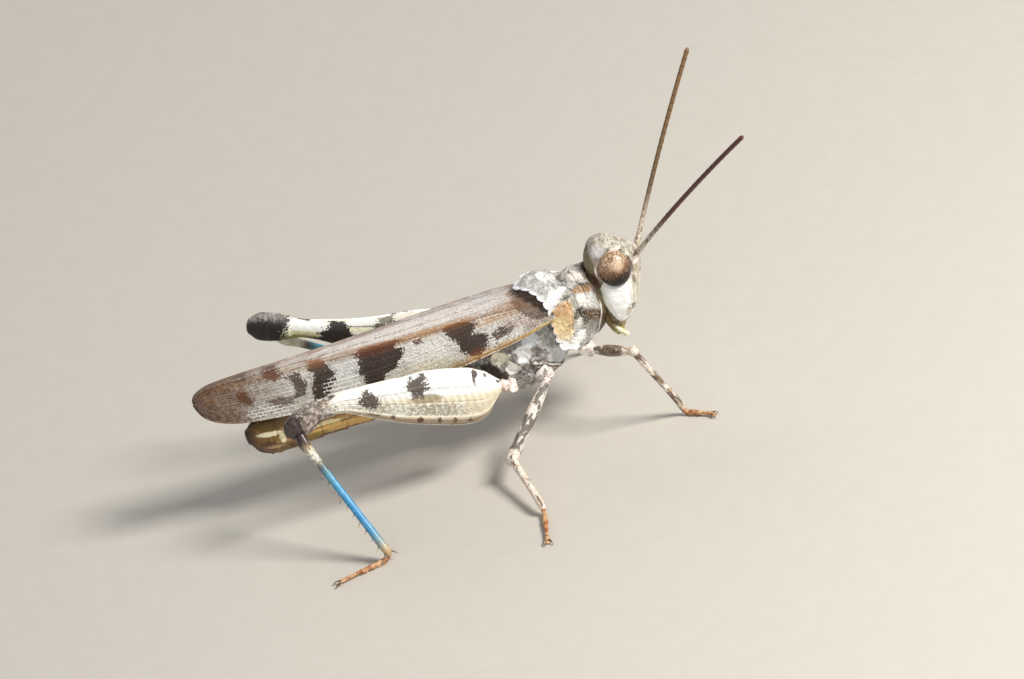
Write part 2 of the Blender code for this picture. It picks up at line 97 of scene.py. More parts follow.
def smooth(knots, x):
    # a smooth curve through the knots, read at x; a knot may hold several values
    table = np.array(knots, float)
    table = table[np.argsort(table[:, 0], kind="stable")]
    keys, values = table[:, 0], table[:, 1:]
    x = np.clip(np.asarray(x, float), keys[0], keys[-1])
    i = np.clip(np.searchsorted(keys, x, side="right") - 1, 0, len(keys) - 2)
    before, after = np.maximum(i - 1, 0), np.minimum(i + 2, len(keys) - 1)
    span = (keys[i + 1] - keys[i])[..., None]
    t = (x - keys[i])[..., None] / span
    slopeA = (values[i + 1] - values[before]) / (keys[i + 1] - keys[before])[..., None]
    slopeB = (values[after] - values[i]) / (keys[after] - keys[i])[..., None]
    read = ((2 * t**3 - 3 * t**2 + 1) * values[i] + (t**3 - 2 * t**2 + t) * span * slopeA
            + (3 * t**2 - 2 * t**3) * values[i + 1] + (t**3 - t**2) * span * slopeB)
    return read[..., 0] if values.shape[1] == 1 else read


def softNoise(points, size, seed=0):
    # smooth bumps between -1 and 1, about one for each size in mm
    q = np.asarray(points, float) / size
    cell = np.floor(q).astype(np.int64)
    f = q - cell
    f = f * f * (3 - 2 * f)
    total = np.zeros(q.shape[:-1])
    for dx in (0, 1):
        for dy in (0, 1):
            for dz in (0, 1):
                mixed = ((cell[..., 0] + dx) * 73856093) ^ ((cell[..., 1] + dy) * 19349663)
                mixed = mixed ^ ((cell[..., 2] + dz) * 83492791) ^ (seed * 2654435761)
                mixed = ((mixed ^ (mixed >> 13)) * 1274126177) & 0x7FFFFFFF
                value = ((mixed >> 7) & 0xFFFF) / 32767.5 - 1
                weight = (f[..., 0] if dx else 1 - f[..., 0]) * (f[..., 1] if dy else 1 - f[..., 1])
                total += value * weight * (f[..., 2] if dz else 1 - f[..., 2])
    return total


def onSide(point, side):
    return np.array(point) * (1, side, 1)


def bell(x, centre, width):
    return np.exp(-((x - centre) / width) ** 2)


def step(x, low, high):
    t = np.clip((x - low) / (high - low), 0, 1)
    return t * t * (3 - 2 * t)


def power(value, exponent):
    return np.sign(value) * np.abs(value) ** exponent


def held(*rows):
    # the ends of each row held for the four rings that close a form
    return [np.r_[np.full(4, a[0]), a, np.full(4, a[-1])] for a in rows]


def sheetForm(grid, u, v):
    # points, faces and flat coordinates of a grid of points
    rows, columns = grid.shape[:2]
    index = np.arange(rows * columns).reshape(rows, columns)
    faces = np.stack([index[:-1, :-1], index[:-1, 1:], index[1:, 1:], index[1:, :-1]], -1).reshape(-1, 4)
    flat = np.stack([np.broadcast_to(u, (rows, columns)), np.broadcast_to(v, (rows, columns))], -1)
    return grid.reshape(-1, 3), faces, flat.reshape(-1, 2)


def shellForm(outer, inner, u, v):
    # a closed sheet between two grids
    pointsA, facesA, flatA = sheetForm(outer, u, v)
    pointsB, facesB, flatB = sheetForm(inner, u, v)
    rows, columns = outer.shape[:2]
    index = np.arange(rows * columns).reshape(rows, columns)
    rim = np.concatenate([index[0, :-1], index[:-1, -1], index[-1, :0:-1], index[:0:-1, 0]])
    turn = np.roll(rim, -1)
    count = rows * columns
    side = np.stack([rim, turn, turn + count, rim + count], -1)
    faces = np.concatenate([facesA, facesB[:, ::-1] + count, side])
    return np.concatenate([pointsA, pointsB]), faces, np.concatenate([flatA, flatB])


def pathOf(stops, count):
    # evenly spaced readings of a path whose stops are x, y, z and any sizes; also the length along it
    stops = np.array(stops, float)
    length = np.r_[0, np.cumsum(np.linalg.norm(np.diff(stops[:, :3], axis=0), axis=1))]
    s = np.linspace(0, length[-1], count)
    return smooth(np.column_stack([length, stops]), s), s


def tubeForm(stops, count=60, sides=32, upward=(0, 0, 1), section=None, ends=0.6):
    # round limb along stops of place, half width and, where it differs, half height, closed at both ends
    path, s = pathOf([(*place, wide, *(tall or [wide])) for place, wide, *tall in stops], count)
    rings = [(path[0], s[0], e) for e in (0, 0.45, 0.8)]
    rings += [(row, at, 1) for row, at in zip(path, s)]
    rings += [(path[-1], s[-1], e) for e in (0.8, 0.45, 0)]
    middle = np.array([row[:3] for row, at, e in rings])
    lengthAt = np.array([at for row, at, e in rings])
    ahead = np.gradient(path[:, :3], axis=0)
    ahead /= np.linalg.norm(ahead, axis=1)[:, None]
    ahead = np.concatenate([ahead[:1].repeat(3, 0), ahead, ahead[-1:].repeat(3, 0)])
    wide = np.array([row[3] for row, at, e in rings])
    tall = np.array([row[4] for row, at, e in rings])
    close = np.array([e for row, at, e in rings])
    push = np.sqrt(np.clip(1 - close**2, 0, 1)) * np.minimum(wide, tall) * ends
    sign = np.r_[-np.ones(3), np.zeros(count), np.ones(3)]
    middle = middle + ahead * (push * sign)[:, None]
    across = np.cross(ahead, np.array(upward, float))
    across /= np.linalg.norm(across, axis=1)[:, None]
    up = np.cross(across, ahead)
    angle = np.linspace(0, fullTurn, sides + 1)
    t = np.clip(lengthAt / max(s[-1], 1e-9), 0, 1)[:, None]
    outward, rise = np.cos(angle)[None, :] + 0 * t, np.sin(angle)[None, :] + 0 * t
    if section:
        outward, rise = section(angle[None, :] + 0 * t, t + 0 * angle[None, :], lengthAt[:, None])
    grid = (middle[:, None] + across[:, None] * (wide * close)[:, None, None] * outward[..., None]
            + up[:, None] * (tall * close)[:, None, None] * rise[..., None])
    return sheetForm(grid, (lengthAt / flatReach)[:, None], (angle / fullTurn)[None, :])


def ballForm(centre, radii, turn=None, columns=40, rows=24):
    polar = np.linspace(0, math.pi, rows + 1)[:, None]
    around = np.linspace(0, fullTurn, columns + 1)[None, :]
    grid = np.stack([np.sin(polar) * np.cos(around), np.sin(polar) * np.sin(around),
                     np.cos(polar) + 0 * around], -1) * np.array(radii, float)
    if turn is not None:
        grid = grid @ np.array(turn).T
    return sheetForm(grid + np.array(centre, float), polar / math.pi, around / fullTurn)


def addPiece(name, forms, material, nodes=(), values=None):
    # one closed object from the forms, welded, with its normals outward, riding on the root
    points, faces, flats, base = [], [], [], 0
    for p, f, uv in forms:
        points.append(p)
        faces.append(np.asarray(f) + base)
        flats.append(uv)
        base += len(p)
    points, faces, flats = np.concatenate(points), np.concatenate(faces), np.concatenate(flats)
    mesh = newMesh(name, points, faces=faces.tolist())
    corner = np.empty(len(mesh.loops), np.int64)
    mesh.loops.foreach_get("vertex_index", corner)
    mesh.uv_layers.new(name="lengthwise").data.foreach_set("uv", flats[corner].ravel())
    writeValues(mesh, values or {})
    return finishMesh(name, mesh, material, nodes)


def finishMesh(name, mesh, material, nodes=()):
    work = bmesh.new()
    work.from_mesh(mesh)
    bmesh.ops.remove_doubles(work, verts=work.verts, dist=2e-7)
    bmesh.ops.dissolve_degenerate(work, edges=work.edges, dist=1e-8)
    bmesh.ops.recalc_face_normals(work, faces=work.faces)
    work.to_mesh(mesh)
    work.free()
    mesh.shade_smooth()
    item = newObject(name, mesh)
    mesh.materials.clear()
    mesh.materials.append(material)
    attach(item, "root")
    if nodes:
        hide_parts(*nodes)
    return item


# small tools for finishes; tones are red, green and blue as a screen shows them, sizes are in mm

def tone(r, g, b):
    # a tone as the shader wants it
    return (tuple(((c / 255) / 12.92 if c <= 10 else ((c / 255 + 0.055) / 1.055) ** 2.4)
                  for c in (r, g, b)) + (1,))


class Reading:
    # a value inside a finish; arithmetic on it lays the nodes that work it out
    def __init__(self, finish, socket):
        self.finish, self.socket = finish, socket

    def __add__(self, other):
        return self.finish.sum("ADD", self, other)

    def __sub__(self, other):
        return self.finish.sum("SUBTRACT", self, other)

    def __rsub__(self, other):
        return self.finish.sum("SUBTRACT", other, self)

    def __mul__(self, other):
        return self.finish.sum("MULTIPLY", self, other)

    def __truediv__(self, other):
        return self.finish.sum("DIVIDE", self, other)

    def __abs__(self):
        return self.finish.sum("ABSOLUTE", self)


class Finish:
    # one material, its nodes laid one after another
    def __init__(self, name, roughness=0.5, **sockets):
        self.material = bpy.data.materials.new(name)
        self.material.use_nodes = True
        self.tree = self.material.node_tree
        self.shader = self.tree.nodes["Principled BSDF"]
        self.shader.inputs["Roughness"].default_value = roughness
        for socket, value in sockets.items():
            self.shader.inputs[socket.replace("_", " ")].default_value = value
        coordinates = self.node("ShaderNodeTexCoord").outputs
        own, self.flat = (Reading(self, coordinates[out]) for out in ("Object", "UV"))
        self.drawn = self.vector("SUBTRACT", self.vector("SCALE", own, scale=1 / mm), tuple(shift))

    def node(self, kind, **settings):
        made = self.tree.nodes.new(kind)
        for key, value in settings.items():
            setattr(made, key, value)
        made.location = (180 * (len(self.tree.nodes) % 40), -260 * (len(self.tree.nodes) // 40))
        return made

    def feed(self, socket, value):
        if isinstance(value, Reading):
            self.tree.links.new(value.socket, socket)
        elif value is not None:
            socket.default_value = value

    def lay(self, kind, fed, out=0, **settings):
        # a node with its sockets fed, read at one of its outputs
        made = self.node(kind, **settings)
        for key, value in fed.items():
            self.feed(made.inputs[key], value)
        return Reading(self, made.outputs[out])

    def vector(self, operation, a, b=None, scale=None):
        out = "Value" if operation == "LENGTH" else "Vector"
        return self.lay("ShaderNodeVectorMath", {0: a, 1: b, 3: scale}, out, operation=operation)

    def sum(self, operation, a, b=0):
        return self.lay("ShaderNodeMath", {0: a, 1: b}, operation=operation)

    def most(self, a, b):
        return self.sum("MAXIMUM", a, b)

    def least(self, a, b):
        return self.sum("MINIMUM", a, b)

    def parts(self, vector):
        made = self.node("ShaderNodeSeparateXYZ")
        self.feed(made.inputs[0], vector)
        return [Reading(self, out) for out in made.outputs]

    def join(self, x, y, z=0):
        return self.lay("ShaderNodeCombineXYZ", {0: x, 1: y, 2: z})

    def ramp(self, value, low, high, start=0, end=1):
        fed = {"Value": value, "From Min": low, "From Max": high, "To Min": start, "To Max": end}
        return self.lay("ShaderNodeMapRange", fed, interpolation_type="SMOOTHSTEP")

    def grain(self, size, detail=3, rough=0.6, stretch=None, seed=0, vector=None):
        # cloudy noise, a cloud for each size
        vector = vector or self.drawn
        if stretch or seed:
            place = {"Vector": vector, "Location": (seed, seed * 0.7, seed * 1.3),
                     "Scale": stretch or (1, 1, 1)}
            vector = self.lay("ShaderNodeMapping", place)
        fed = {"Vector": vector, "Scale": 1 / size, "Detail": detail, "Roughness": rough}
        return self.lay("ShaderNodeTexNoise", fed, "Fac")

    def cells(self, vector, size, feature="F1", random=1):
        fed = {"Vector": vector, "Scale": 1 / size, "Randomness": random}
        return self.lay("ShaderNodeTexVoronoi", fed, feature=feature)

    def mix(self, share, a, b):
        a, b = (tone(*c) if isinstance(c, tuple) else c for c in (a, b))
        return self.lay("ShaderNodeMix", {"Factor": share, 6: a, 7: b}, 2, data_type="RGBA")

    def mottled(self, a, b, size, detail, low, high, seed=0):
        # two tones in clouds
        return self.mix(self.ramp(self.grain(size, detail, seed=seed), low, high), a, b)

    def flecks(self, size, much, seed=0, stretch=None, vector=None):
        # scattered small specks, 1 on a speck; much is the share of the surface they take
        cloud = self.grain(size, 3, 0.75, stretch, seed, vector)
        return self.ramp(cloud, 0.66 - much * 0.45, 0.72 - much * 0.45)

    def speckle(self, colour, *layers):
        # layers of tone, strength, and what flecks asks for
        for shade, strength, *specks in layers:
            colour = self.mix(self.flecks(*specks) * strength, colour, shade)
        return colour

    def spot(self, vector, centre, radii, turn=0, soft=0.25, wobble=None):
        # a patch: 1 inside an oval round the centre, fading to 0 across a soft or ragged edge
        fed = {"Vector": vector, "Location": centre, "Rotation": (0, 0, math.radians(turn)), "Scale": radii}
        far = self.vector("LENGTH", self.lay("ShaderNodeMapping", fed, vector_type="TEXTURE"))
        if wobble is not None:
            far = far + wobble
        return self.ramp(far, 1 + soft, 1 - soft)

    def patches(self, colour, vector, marks, wobble, soft, reach=(1, 1, 1)):
        # paint marks one over another: centre, radii, tone, strength, and a turn where there is one
        for centre, radii, shade, strength, *turn in marks:
            centre = [a * b for a, b in zip((*centre, 0), reach)]
            radii = [a * b for a, b in zip((*radii, 1), reach)]
            colour = self.mix(self.spot(vector, centre, radii, *(turn or [0]), soft, wobble) * strength,
                              colour, shade)
        return colour

    def curve(self, value, knots):
        # a smooth graph through the knots, read at value
        start, reach = knots[0][0], knots[-1][0] - knots[0][0]
        low, high = min(k[1] for k in knots) - 0.001, max(k[1] for k in knots) + 0.001
        made = self.node("ShaderNodeFloatCurve")
        points = made.mapping.curves[0].points
        while len(points) < len(knots):
            points.new(0.5, 0.5)
        for point, (x, y) in zip(points, knots):
            point.location = ((x - start) / reach, (y - low) / (high - low))
        made.mapping.update()
        self.feed(made.inputs["Value"], (value - start) / reach)
        return Reading(self, made.outputs[0]) * (high - low) + low

    def band(self, along, across, rows, wide, wobble, soft=0.06, reach=1):
        # a patch given by rows of (place across, low end, high end); wide and reach turn rows into mm
        low, high = (self.curve(across, [(row[0], row[i] * reach) for row in rows]) for i in (1, 2))
        inside = self.least(along - low, high - along)
        over = self.least(across - rows[0][0], rows[-1][0] - across)
        return self.ramp(self.least(inside, over * wide) + wobble, -soft, soft)

    def bands(self, colour, along, across, bands, wide, wobble, soft, reach=1):
        for rows, shade, strength in bands:
            colour = self.mix(self.band(along, across, rows, wide, wobble, soft, reach) * strength, colour,
                              shade)
        return colour

    def ragged(self, coarse, fine, much, little, vector=None):
        # unevenness for the edges of patches, the same for every patch on a piece
        a = (self.grain(coarse, 2, seed=3.1, vector=vector) - 0.5) * much
        b = (self.grain(fine, 2, seed=7.7, vector=vector) - 0.5) * little
        return a + b

    def mirrored(self):
        x, y, z = self.parts(self.drawn)
        return self.join(x, abs(y), z)

    def scale(self, value, stops):
        # a run of tones along a value: stops are (place, tone)
        made = self.node("ShaderNodeValToRGB")
        points = made.color_ramp.elements
        while len(points) < len(stops):
            points.new(1)
        for point, (place, shade) in zip(points, stops):
            point.position, point.color = place, tone(*shade)
        self.feed(made.inputs[0], value)
        return Reading(self, made.outputs[0])

    def attribute(self, name):
        return self.lay("ShaderNodeAttribute", {}, "Fac", attribute_name=name)

    def done(self, colour, roughness=None, height=None, depth=0.02):
        self.feed(self.shader.inputs["Base Color"], colour)
        self.feed(self.shader.inputs["Roughness"], roughness)
        fed = {"Strength": 1, "Distance": depth * mm, "Height": height}
        if height is not None:
            self.feed(self.shader.inputs["Normal"], self.lay("ShaderNodeBump", fed))
        return self.material


# camera, floor and light

view = {"azimuth": 5, "elevation": 32, "roll": 19, "width": 55.96, "lens": 300, "sensor": 36,
        "aim": (0, 0, 4.4), "right": 0.656, "up": 1.667}
light = {
    # place and size in mm, power, colour
    "key": ((135, -62, 150), 62, 0.5, (1, 0.975, 0.93)),
    "fill": ((-40, -190, 90), 160, 0.075, (0.94, 0.97, 1)),
    "rim": ((-90, 150, 120), 120, 0.07, (1, 1, 1)),
    "sky": (0.86, 0.9, 0.96, 1), "skyPower": 0.32}


def cameraAxes():
    a, e, r = (math.radians(view[key]) for key in ("azimuth", "elevation", "roll"))
    back = Vector((math.sin(a) * math.cos(e), -math.cos(a) * math.cos(e), math.sin(e)))
    side = Vector((0, 0, 1)).cross(back).normalized()
    top = back.cross(side)
    return (side * math.cos(r) - top * math.sin(r), side * math.sin(r) + top * math.cos(r), back)


def makeCamera():
    data = bpy.data.cameras.new("viewpoint")
    data.lens, data.sensor_width = view["lens"], view["sensor"]
    data.clip_start, data.clip_end = 0.01, 10
    camera = newObject("viewpoint", data)
    right, top, back = cameraAxes()
    reach = view["width"] * view["lens"] / view["sensor"]
    place = Vector(view["aim"]) + Vector(shift.tolist())
    place = place + right * view["right"] + top * view["up"] + back * reach
    camera.matrix_world = Matrix.Translation(place * mm) @ Matrix((right, top, back)).transposed().to_4x4()
    bpy.context.scene.camera = camera


def makeLight(name, spec):
    place, size, power, colour = spec
    data = bpy.data.lights.new(name, "AREA")
    data.shape, data.size, data.energy, data.color = "DISK", size * mm, power, colour
    lamp = newObject(name, data)
    at = Vector(place) * mm
    lamp.location = at
    lamp.rotation_euler = (at - Vector((0, 0, 5 * mm))).to_track_quat("Z", "Y").to_euler()


def makeStage():
    mesh = bpy.data.meshes.new("floor")
    reach = 2.5
    mesh.from_pydata([(-reach, -reach, 0), (reach, -reach, 0), (reach, reach, 0), (-reach, reach, 0)], [],
                     [(0, 1, 2, 3)])
    floor = newObject("floor", mesh)
    finish = Finish("paleFloor", 0.9)
    mesh.materials.append(finish.done(finish.mix(finish.grain(1.4, 4), (200, 193, 182), (208, 202, 191))))
    floor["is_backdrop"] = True
    for name in ("key", "fill", "rim"):
        makeLight(name, light[name])
    world = bpy.data.worlds.new("studio")
    world.use_nodes = True
    world.node_tree.nodes["Background"].inputs["Color"].default_value = light["sky"]
    world.node_tree.nodes["Background"].inputs["Strength"].default_value = light["skyPower"]
    bpy.context.scene.world = world
    bpy.context.scene.view_settings.view_transform = "Standard"


makeCamera()
makeStage()
print("stage, lights and camera are up")


# head

head = {
    # height, rear x, front x, half width of the level sections
    "sections": ((5.36, 6.85, 7.35, 0.45), (5.55, 6.72, 7.66, 0.75), (5.9, 6.62, 8.02, 1),
                 (6.5, 6.55, 8.42, 1.22), (7.3, 6.5, 8.74, 1.34), (8.1, 6.42, 9, 1.28),
                 (8.8, 6.3, 9.2, 1.12), (9.35, 6.2, 9.2, 1), (9.8, 6.28, 8.9, 0.9),
                 (10.25, 6.48, 8.42, 0.8), (10.6, 6.72, 7.98, 0.62), (10.8, 6.98, 7.6, 0.32)),
    "rows": 200, "columns": 256, "square": 0.85, "taper": 0.14,
    "eye": (7.76, 0.88, 9.14), "eyeRadii": (0.9, 0.68, 1.03), "eyeLean": 15,
    "smallEye": (9.02, 0.5, 9.86), "foreheadEye": (9.3, 0, 8.95),
    "feelerRoot": (9.28, 0.42, 9.5), "feelerTips": {"right": (16.76, -3.7, 16.6), "left": (15, 4, 18.3)},
    "feelerBow": {"right": (-0.12, 0, 0.1), "left": (-0.08, 0.15, 0)},
}


def unitNormals(across, along):
    normal = np.cross(across, along)
    return normal / np.maximum(np.linalg.norm(normal, axis=-1, keepdims=True), 1e-9)


def normalsOf(grid):
    # outward normals of a grid, ends of rows joined
    wrapped = np.concatenate([grid[:, -2:-1], grid, grid[:, 1:2]], 1)
    return unitNormals(wrapped[:, 2:] - wrapped[:, :-2], np.gradient(grid, axis=0))


def openNormals(grid):
    return unitNormals(np.gradient(grid, axis=1), np.gradient(grid, axis=0))


def eyeDistance(points):
    # how far a point stands outside the nearer eye's ball, in mm
    lean = math.radians(head["eyeLean"])
    far = []
    for _, side in bothSides:
        c = onSide(head["eye"], side)
        d = points - c
        turned = np.stack([d[..., 0], d[..., 1] * math.cos(lean) + side * d[..., 2] * math.sin(lean),
                           -side * d[..., 1] * math.sin(lean) + d[..., 2] * math.cos(lean)], -1)
        far.append((np.linalg.norm(turned / np.array(head["eyeRadii"]), axis=-1) - 1) * 0.9)
    return np.minimum(*far)


def headGrid():
    t = np.linspace(0, 1, head["rows"])
    low, high = head["sections"][0][0], head["sections"][-1][0]
    z = (low + high) / 2 - (high - low) / 2 * np.cos(math.pi * t)
    rear, front, half = smooth(head["sections"], z).T
    # the poles close over the mouth and the crown
    extra = np.array([0, 0.35, 0.65, 0.87])
    z = np.r_[low - 0.12 * np.sqrt(1 - extra**2), z, high + 0.07 * np.sqrt(1 - extra[::-1]**2)]
    size = np.r_[extra, np.ones(len(t)), extra[::-1]]
    rear, front, half = held(rear, front, half)
    angle = np.linspace(0, fullTurn, head["columns"] + 1)[None, :]
    ahead, beside = power(np.cos(angle), head["square"]), power(np.sin(angle), head["square"])
    x = ((rear + front) / 2)[:, None] + ((front - rear) / 2 * size)[:, None] * ahead
    y = (half * size)[:, None] * beside * (1 - head["taper"] * np.cos(angle))
    return np.stack([x, y, z[:, None] + 0 * angle], -1), angle + 0 * z[:, None]


def headRelief(p, angle):
    x, y, z = p[..., 0], p[..., 1], p[..., 2]
    face = step(np.cos(angle), 0.1, 0.7)
    side = np.abs(y)
    rise = 0.02 * softNoise(p, 0.32, 3) + 0.012 * softNoise(p, 0.16, 4)
    ridgeWide = 0.2 + 0.1 * bell(z, 8.9, 0.5)
    rise += face * step(z, 6.2, 6.6) * (0.075 * bell(side, ridgeWide, 0.07) - 0.03 * bell(side, 0, 0.13))
    # side ridges of the face, from eye to jaw
    line = 0.72 + 0.18 * step(z, 8.4, 6.4)
    rise += 0.05 * face * bell(side, line, 0.07) * step(z, 8.7, 8.3) * step(z, 6.1, 6.5)
    # low ribs down the cheek, the furrow under the eye, and the seams over the lip
    for back in (0, 0.55):
        rise += (0.007 * bell(x, 7.2 + back + 0.2 * (8 - z), 0.09) * step(z, 8.2, 7.8) * step(z, 6, 6.6)
                 * (side > 0.5))
    rise -= (0.05 * bell(x, 8.15 + 0.12 * (z - 7.5), 0.05) * step(z, 8.6, 8.2) * step(z, 6, 6.4)
             * (side > 0.5))
    rise -= 0.06 * face * (bell(z, 6.12 + 0.15 * side, 0.05) + 0.8 * bell(z, 5.72, 0.045))
    rise += 0.03 * bell(x, 6.75, 0.1) * step(side, 0.6, 0.9)
    # rim and moat round each eye
    out = eyeDistance(p)
    rise += (0.03 + 0.04 * step(z, 8.6, 9.2)) * bell(out, 0.13, 0.07) - 0.05 * bell(out, 0.02, 0.05)
    # cups at the roots of the feelers, small eyes, and the crown's edges
    for s in (-1, 1):
        far = np.linalg.norm(p - onSide(head["feelerRoot"], s), axis=-1)
        rise += 0.07 * bell(far, 0.3, 0.07) - 0.06 * bell(far, 0.1, 0.12)
        far = np.linalg.norm(p - onSide(head["smallEye"], s), axis=-1)
        rise += 0.05 * bell(far, 0, 0.1)
    rise += 0.05 * bell(np.linalg.norm(p - np.array(head["foreheadEye"]), axis=-1), 0, 0.09)
    crown = step(z, 9.75, 10.1)
    rise += crown * (0.05 * bell(side, 0.42, 0.08) * step(x, 7.6, 8.2) + 0.025 * bell(side, 0, 0.05))
    return rise


def headForm():
    grid, angle = headGrid()
    grid = grid + normalsOf(grid) * headRelief(grid, angle)[..., None]
    return sheetForm(grid, np.linspace(0, 1, len(grid))[:, None], angle / fullTurn)


def plainFinish(name, roughness, clouds, grain, depth=0.02, *specks):
    # two tones in clouds, specks over them, and a fine grain
    f = Finish(name, roughness)
    return f.done(f.speckle(f.mottled(*clouds), *specks), None, f.grain(grain), depth)


head["cheek"] = (
    # level, where the pale cheek starts behind and ends in front
    (5.75, 7.3, 7.6), (6, 7.13, 9.8), (6.4, 6.95, 9.8), (6.8, 6.8, 9.8), (7.1, 6.69, 9.8), (7.5, 6.64, 9.8),
    (8, 6.66, 9.8), (8.3, 6.75, 9.75), (8.5, 6.88, 9.5), (8.62, 7.1, 9))
head["marks"] = (
    # centre, radii, tone, strength, and a turn in degrees where there is one
    ((6.9, 0.8, 9.7), (0.4, 0.5, 0.5), (150, 140, 130), 0.8),
    # olive brown on the back of the head next to the collar: painted shade
    ((6.38, 0.9, 9.4), (0.34, 1.2, 1.5), (126, 114, 84), 0.95),
    ((6.56, 1, 8.75), (0.17, 0.5, 0.34), (96, 54, 38), 0.9),
    ((6.72, 1.1, 9.3), (0.07, 0.4, 0.3), (226, 208, 192), 0.8, 8),
    ((7.15, 0.6, 10.3), (0.42, 0.4, 0.3), (206, 201, 204), 0.75),
    ((7.5, 0.6, 10.25), (0.12, 0.4, 0.3), (176, 168, 164), 0.6, 20),
    ((8.1, 0.75, 10.16), (0.34, 0.3, 0.12), (254, 246, 234), 0.95, 10),
    ((8.66, 0.8, 9.72), (0.2, 0.3, 0.13), (253, 249, 226), 0.95, 10),
    ((7.75, 0.8, 10.34), (0.08, 0.3, 0.07), (96, 86, 70), 0.85),
    ((8.4, 0.75, 10.02), (0.06, 0.3, 0.08), (92, 80, 68), 0.9),
    ((9.07, 0.6, 9.44), (0.13, 0.2, 0.1), (88, 72, 60), 0.9),
    ((8.62, 0.8, 9.44), (0.09, 0.3, 0.09), (112, 98, 72), 0.8),
    # olive-brown streak in front of the eye along the face's furrow: painted shade
    ((8.62, 1, 8.2), (0.1, 0.4, 0.34), (116, 104, 74), 0.85),
    ((8.85, 0.75, 8.62), (0.16, 0.3, 0.2), (172, 160, 128), 0.75),
    ((9.03, 0.3, 8.4), (0.09, 0.2, 0.26), (106, 98, 78), 0.85),
    ((9, 0.5, 9.05), (0.2, 0.4, 0.14), (244, 232, 222), 0.8),
    ((8.66, 0.9, 7.75), (0.16, 0.3, 0.16), (196, 196, 180), 0.8),
    ((8.3, 0.9, 6.95), (0.3, 0.4, 0.9), (226, 216, 202), 0.6),
    ((7.8, 0.9, 6.45), (0.26, 0.4, 0.42), (196, 187, 170), 0.7),
    ((7.86, 0.95, 6.62), (0.12, 0.3, 0.12), (128, 122, 106), 0.85),
    ((8.14, 0.95, 6.68), (0.14, 0.3, 0.08), (86, 86, 68), 0.95),
    ((7.95, 0.95, 6.86), (0.08, 0.3, 0.07), (132, 128, 110), 0.8),
    ((7.35, 0.8, 6.02), (0.3, 0.4, 0.08), (255, 242, 228), 0.7),
    ((7.1, 0.8, 6.62), (0.2, 0.4, 0.16), (226, 230, 226), 0.6),
)
head["lines"] = (
    # rows (level, from, to along x), tone, strength: the ridges down the face; the second and third rows are
    # partly the face's own colour and partly painted shade beside the side ridges
    (((6.3, 8.2, 9.8), (6.8, 8.4, 9.8), (7.4, 8.58, 9.8), (8, 8.74, 9.8), (8.6, 8.9, 9.8),
      (8.9, 9.05, 9.8)), (214, 203, 182), 0.45),
    (((6.4, 8, 8.1), (6.82, 8.16, 8.26), (7.3, 8.3, 8.4), (7.77, 8.4, 8.49), (8.3, 8.56, 8.64),
      (8.66, 8.68, 8.76)), (128, 116, 92), 0.45),
    (((6.7, 8.4, 8.48), (7.2, 8.52, 8.6), (7.6, 8.6, 8.7), (8.1, 8.76, 8.86), (8.6, 8.95, 9.02)),
     (150, 138, 112), 0.5),
    (((6.2, 8.02, 8.3), (6.4, 7.92, 8.4), (6.6, 8, 8.36), (6.75, 8.1, 8.3)), (158, 148, 126), 0.6),
)


def headFinish():
    f = Finish("headCuticle", 0.55)
    where, edge = f.mirrored(), f.ragged(0.3, 0.08, 0.6, 0.6)
    x, _, height = f.parts(where)
    crown = f.mottled((152, 141, 127), (196, 187, 173), 0.35, 4, 0.38, 0.62)
    crown = f.speckle(crown, ((108, 94, 78), 0.6, 0.14, 0.3, 2), ((234, 227, 214), 0.6, 0.18, 0.28, 5))
    # olive-brown painted shade along the head's rear border, next to the collar
    rear = f.mottled((88, 70, 44), (134, 122, 88), 0.3, 4, 0.4, 0.62)
    crown = f.mix(f.ramp(x + edge + f.ramp(height, 8.8, 8.4) * -0.9, 6.86, 6.6), crown, rear)
    cheek = f.mottled((250, 249, 243), (255, 255, 254), 0.5, 3, 0.35, 0.6)
    cheek = f.mix(f.ramp(x, 7, 6.7) * 0.5, cheek, (222, 226, 204))
    cheek = f.mix(f.ramp(x, 8.2, 8.55) * 0.75, cheek, (208, 198, 180))
    share = f.band(x, height, head["cheek"], 1, edge * 0.35, 0.04)
    colour = f.patches(f.mix(share, crown, cheek), where, head["marks"], edge * 1.8, 0.35)
    colour = f.bands(colour, x, height, head["lines"], 1, edge * 0.28, 0.06)
    chin = f.ramp(height, 5.95, 5.75) * 0.9
    colour = f.mix(chin, colour, f.mix(f.ramp(x, 6.9, 7.4), (92, 80, 42), (176, 166, 122)))
    bumps = f.grain(0.09, 3) + f.grain(0.03, 2) * 0.4
    return f.done(colour, f.ramp(f.grain(0.4), 0.3, 0.7, 0.42, 0.62), bumps, 0.03)


addPiece("headSkin", [headForm()], headFinish(), ("head",))


def eyeFinish():
    # tan and speckled above, dark brown below, with tiny facets; the run from dark to tan is partly the
    # eye's own colour and partly painted shade and light
    f = Finish("eyeLens", 0.2, Specular_IOR_Level=0.4, Coat_Weight=0.15, Coat_Roughness=0.12)
    x, _, z = f.parts(f.drawn)
    level = z + (f.grain(0.3, 3) - 0.5) * 0.35 - x * 0.12
    colour = f.scale(f.ramp(level, 7.2, 9.35), (
        (0, (16, 9, 6)), (0.2, (28, 16, 11)), (0.36, (56, 35, 24)), (0.5, (108, 76, 53)),
        (0.66, (164, 132, 101)), (0.84, (212, 184, 154)), (1, (188, 160, 130))))
    colour = f.speckle(colour, ((92, 58, 36), 0.75, 0.11, 0.42, 1), ((226, 196, 160), 0.5, 0.08, 0.2, 6),
                               ((110, 74, 50), 0.35, 0.22, 0.3, 15))
    # a painted highlight high on the eye
    paintedEyeHighlight = f.spot(f.mirrored(), (8.05, 1.5, 9.55), (0.3, 0.5, 0.26), soft=0.6)
    colour = f.mix(paintedEyeHighlight * 0.55, colour, (240, 212, 184))
    # painted shade over the lower part of the eye
    low = f.ramp(level, 8.2, 7.7)
    colour = f.mix(low * 0.95, colour, (18, 10, 8))
    facets = f.cells(f.drawn, 0.035)
    return f.done(colour, None, facets * -1, 0.006)


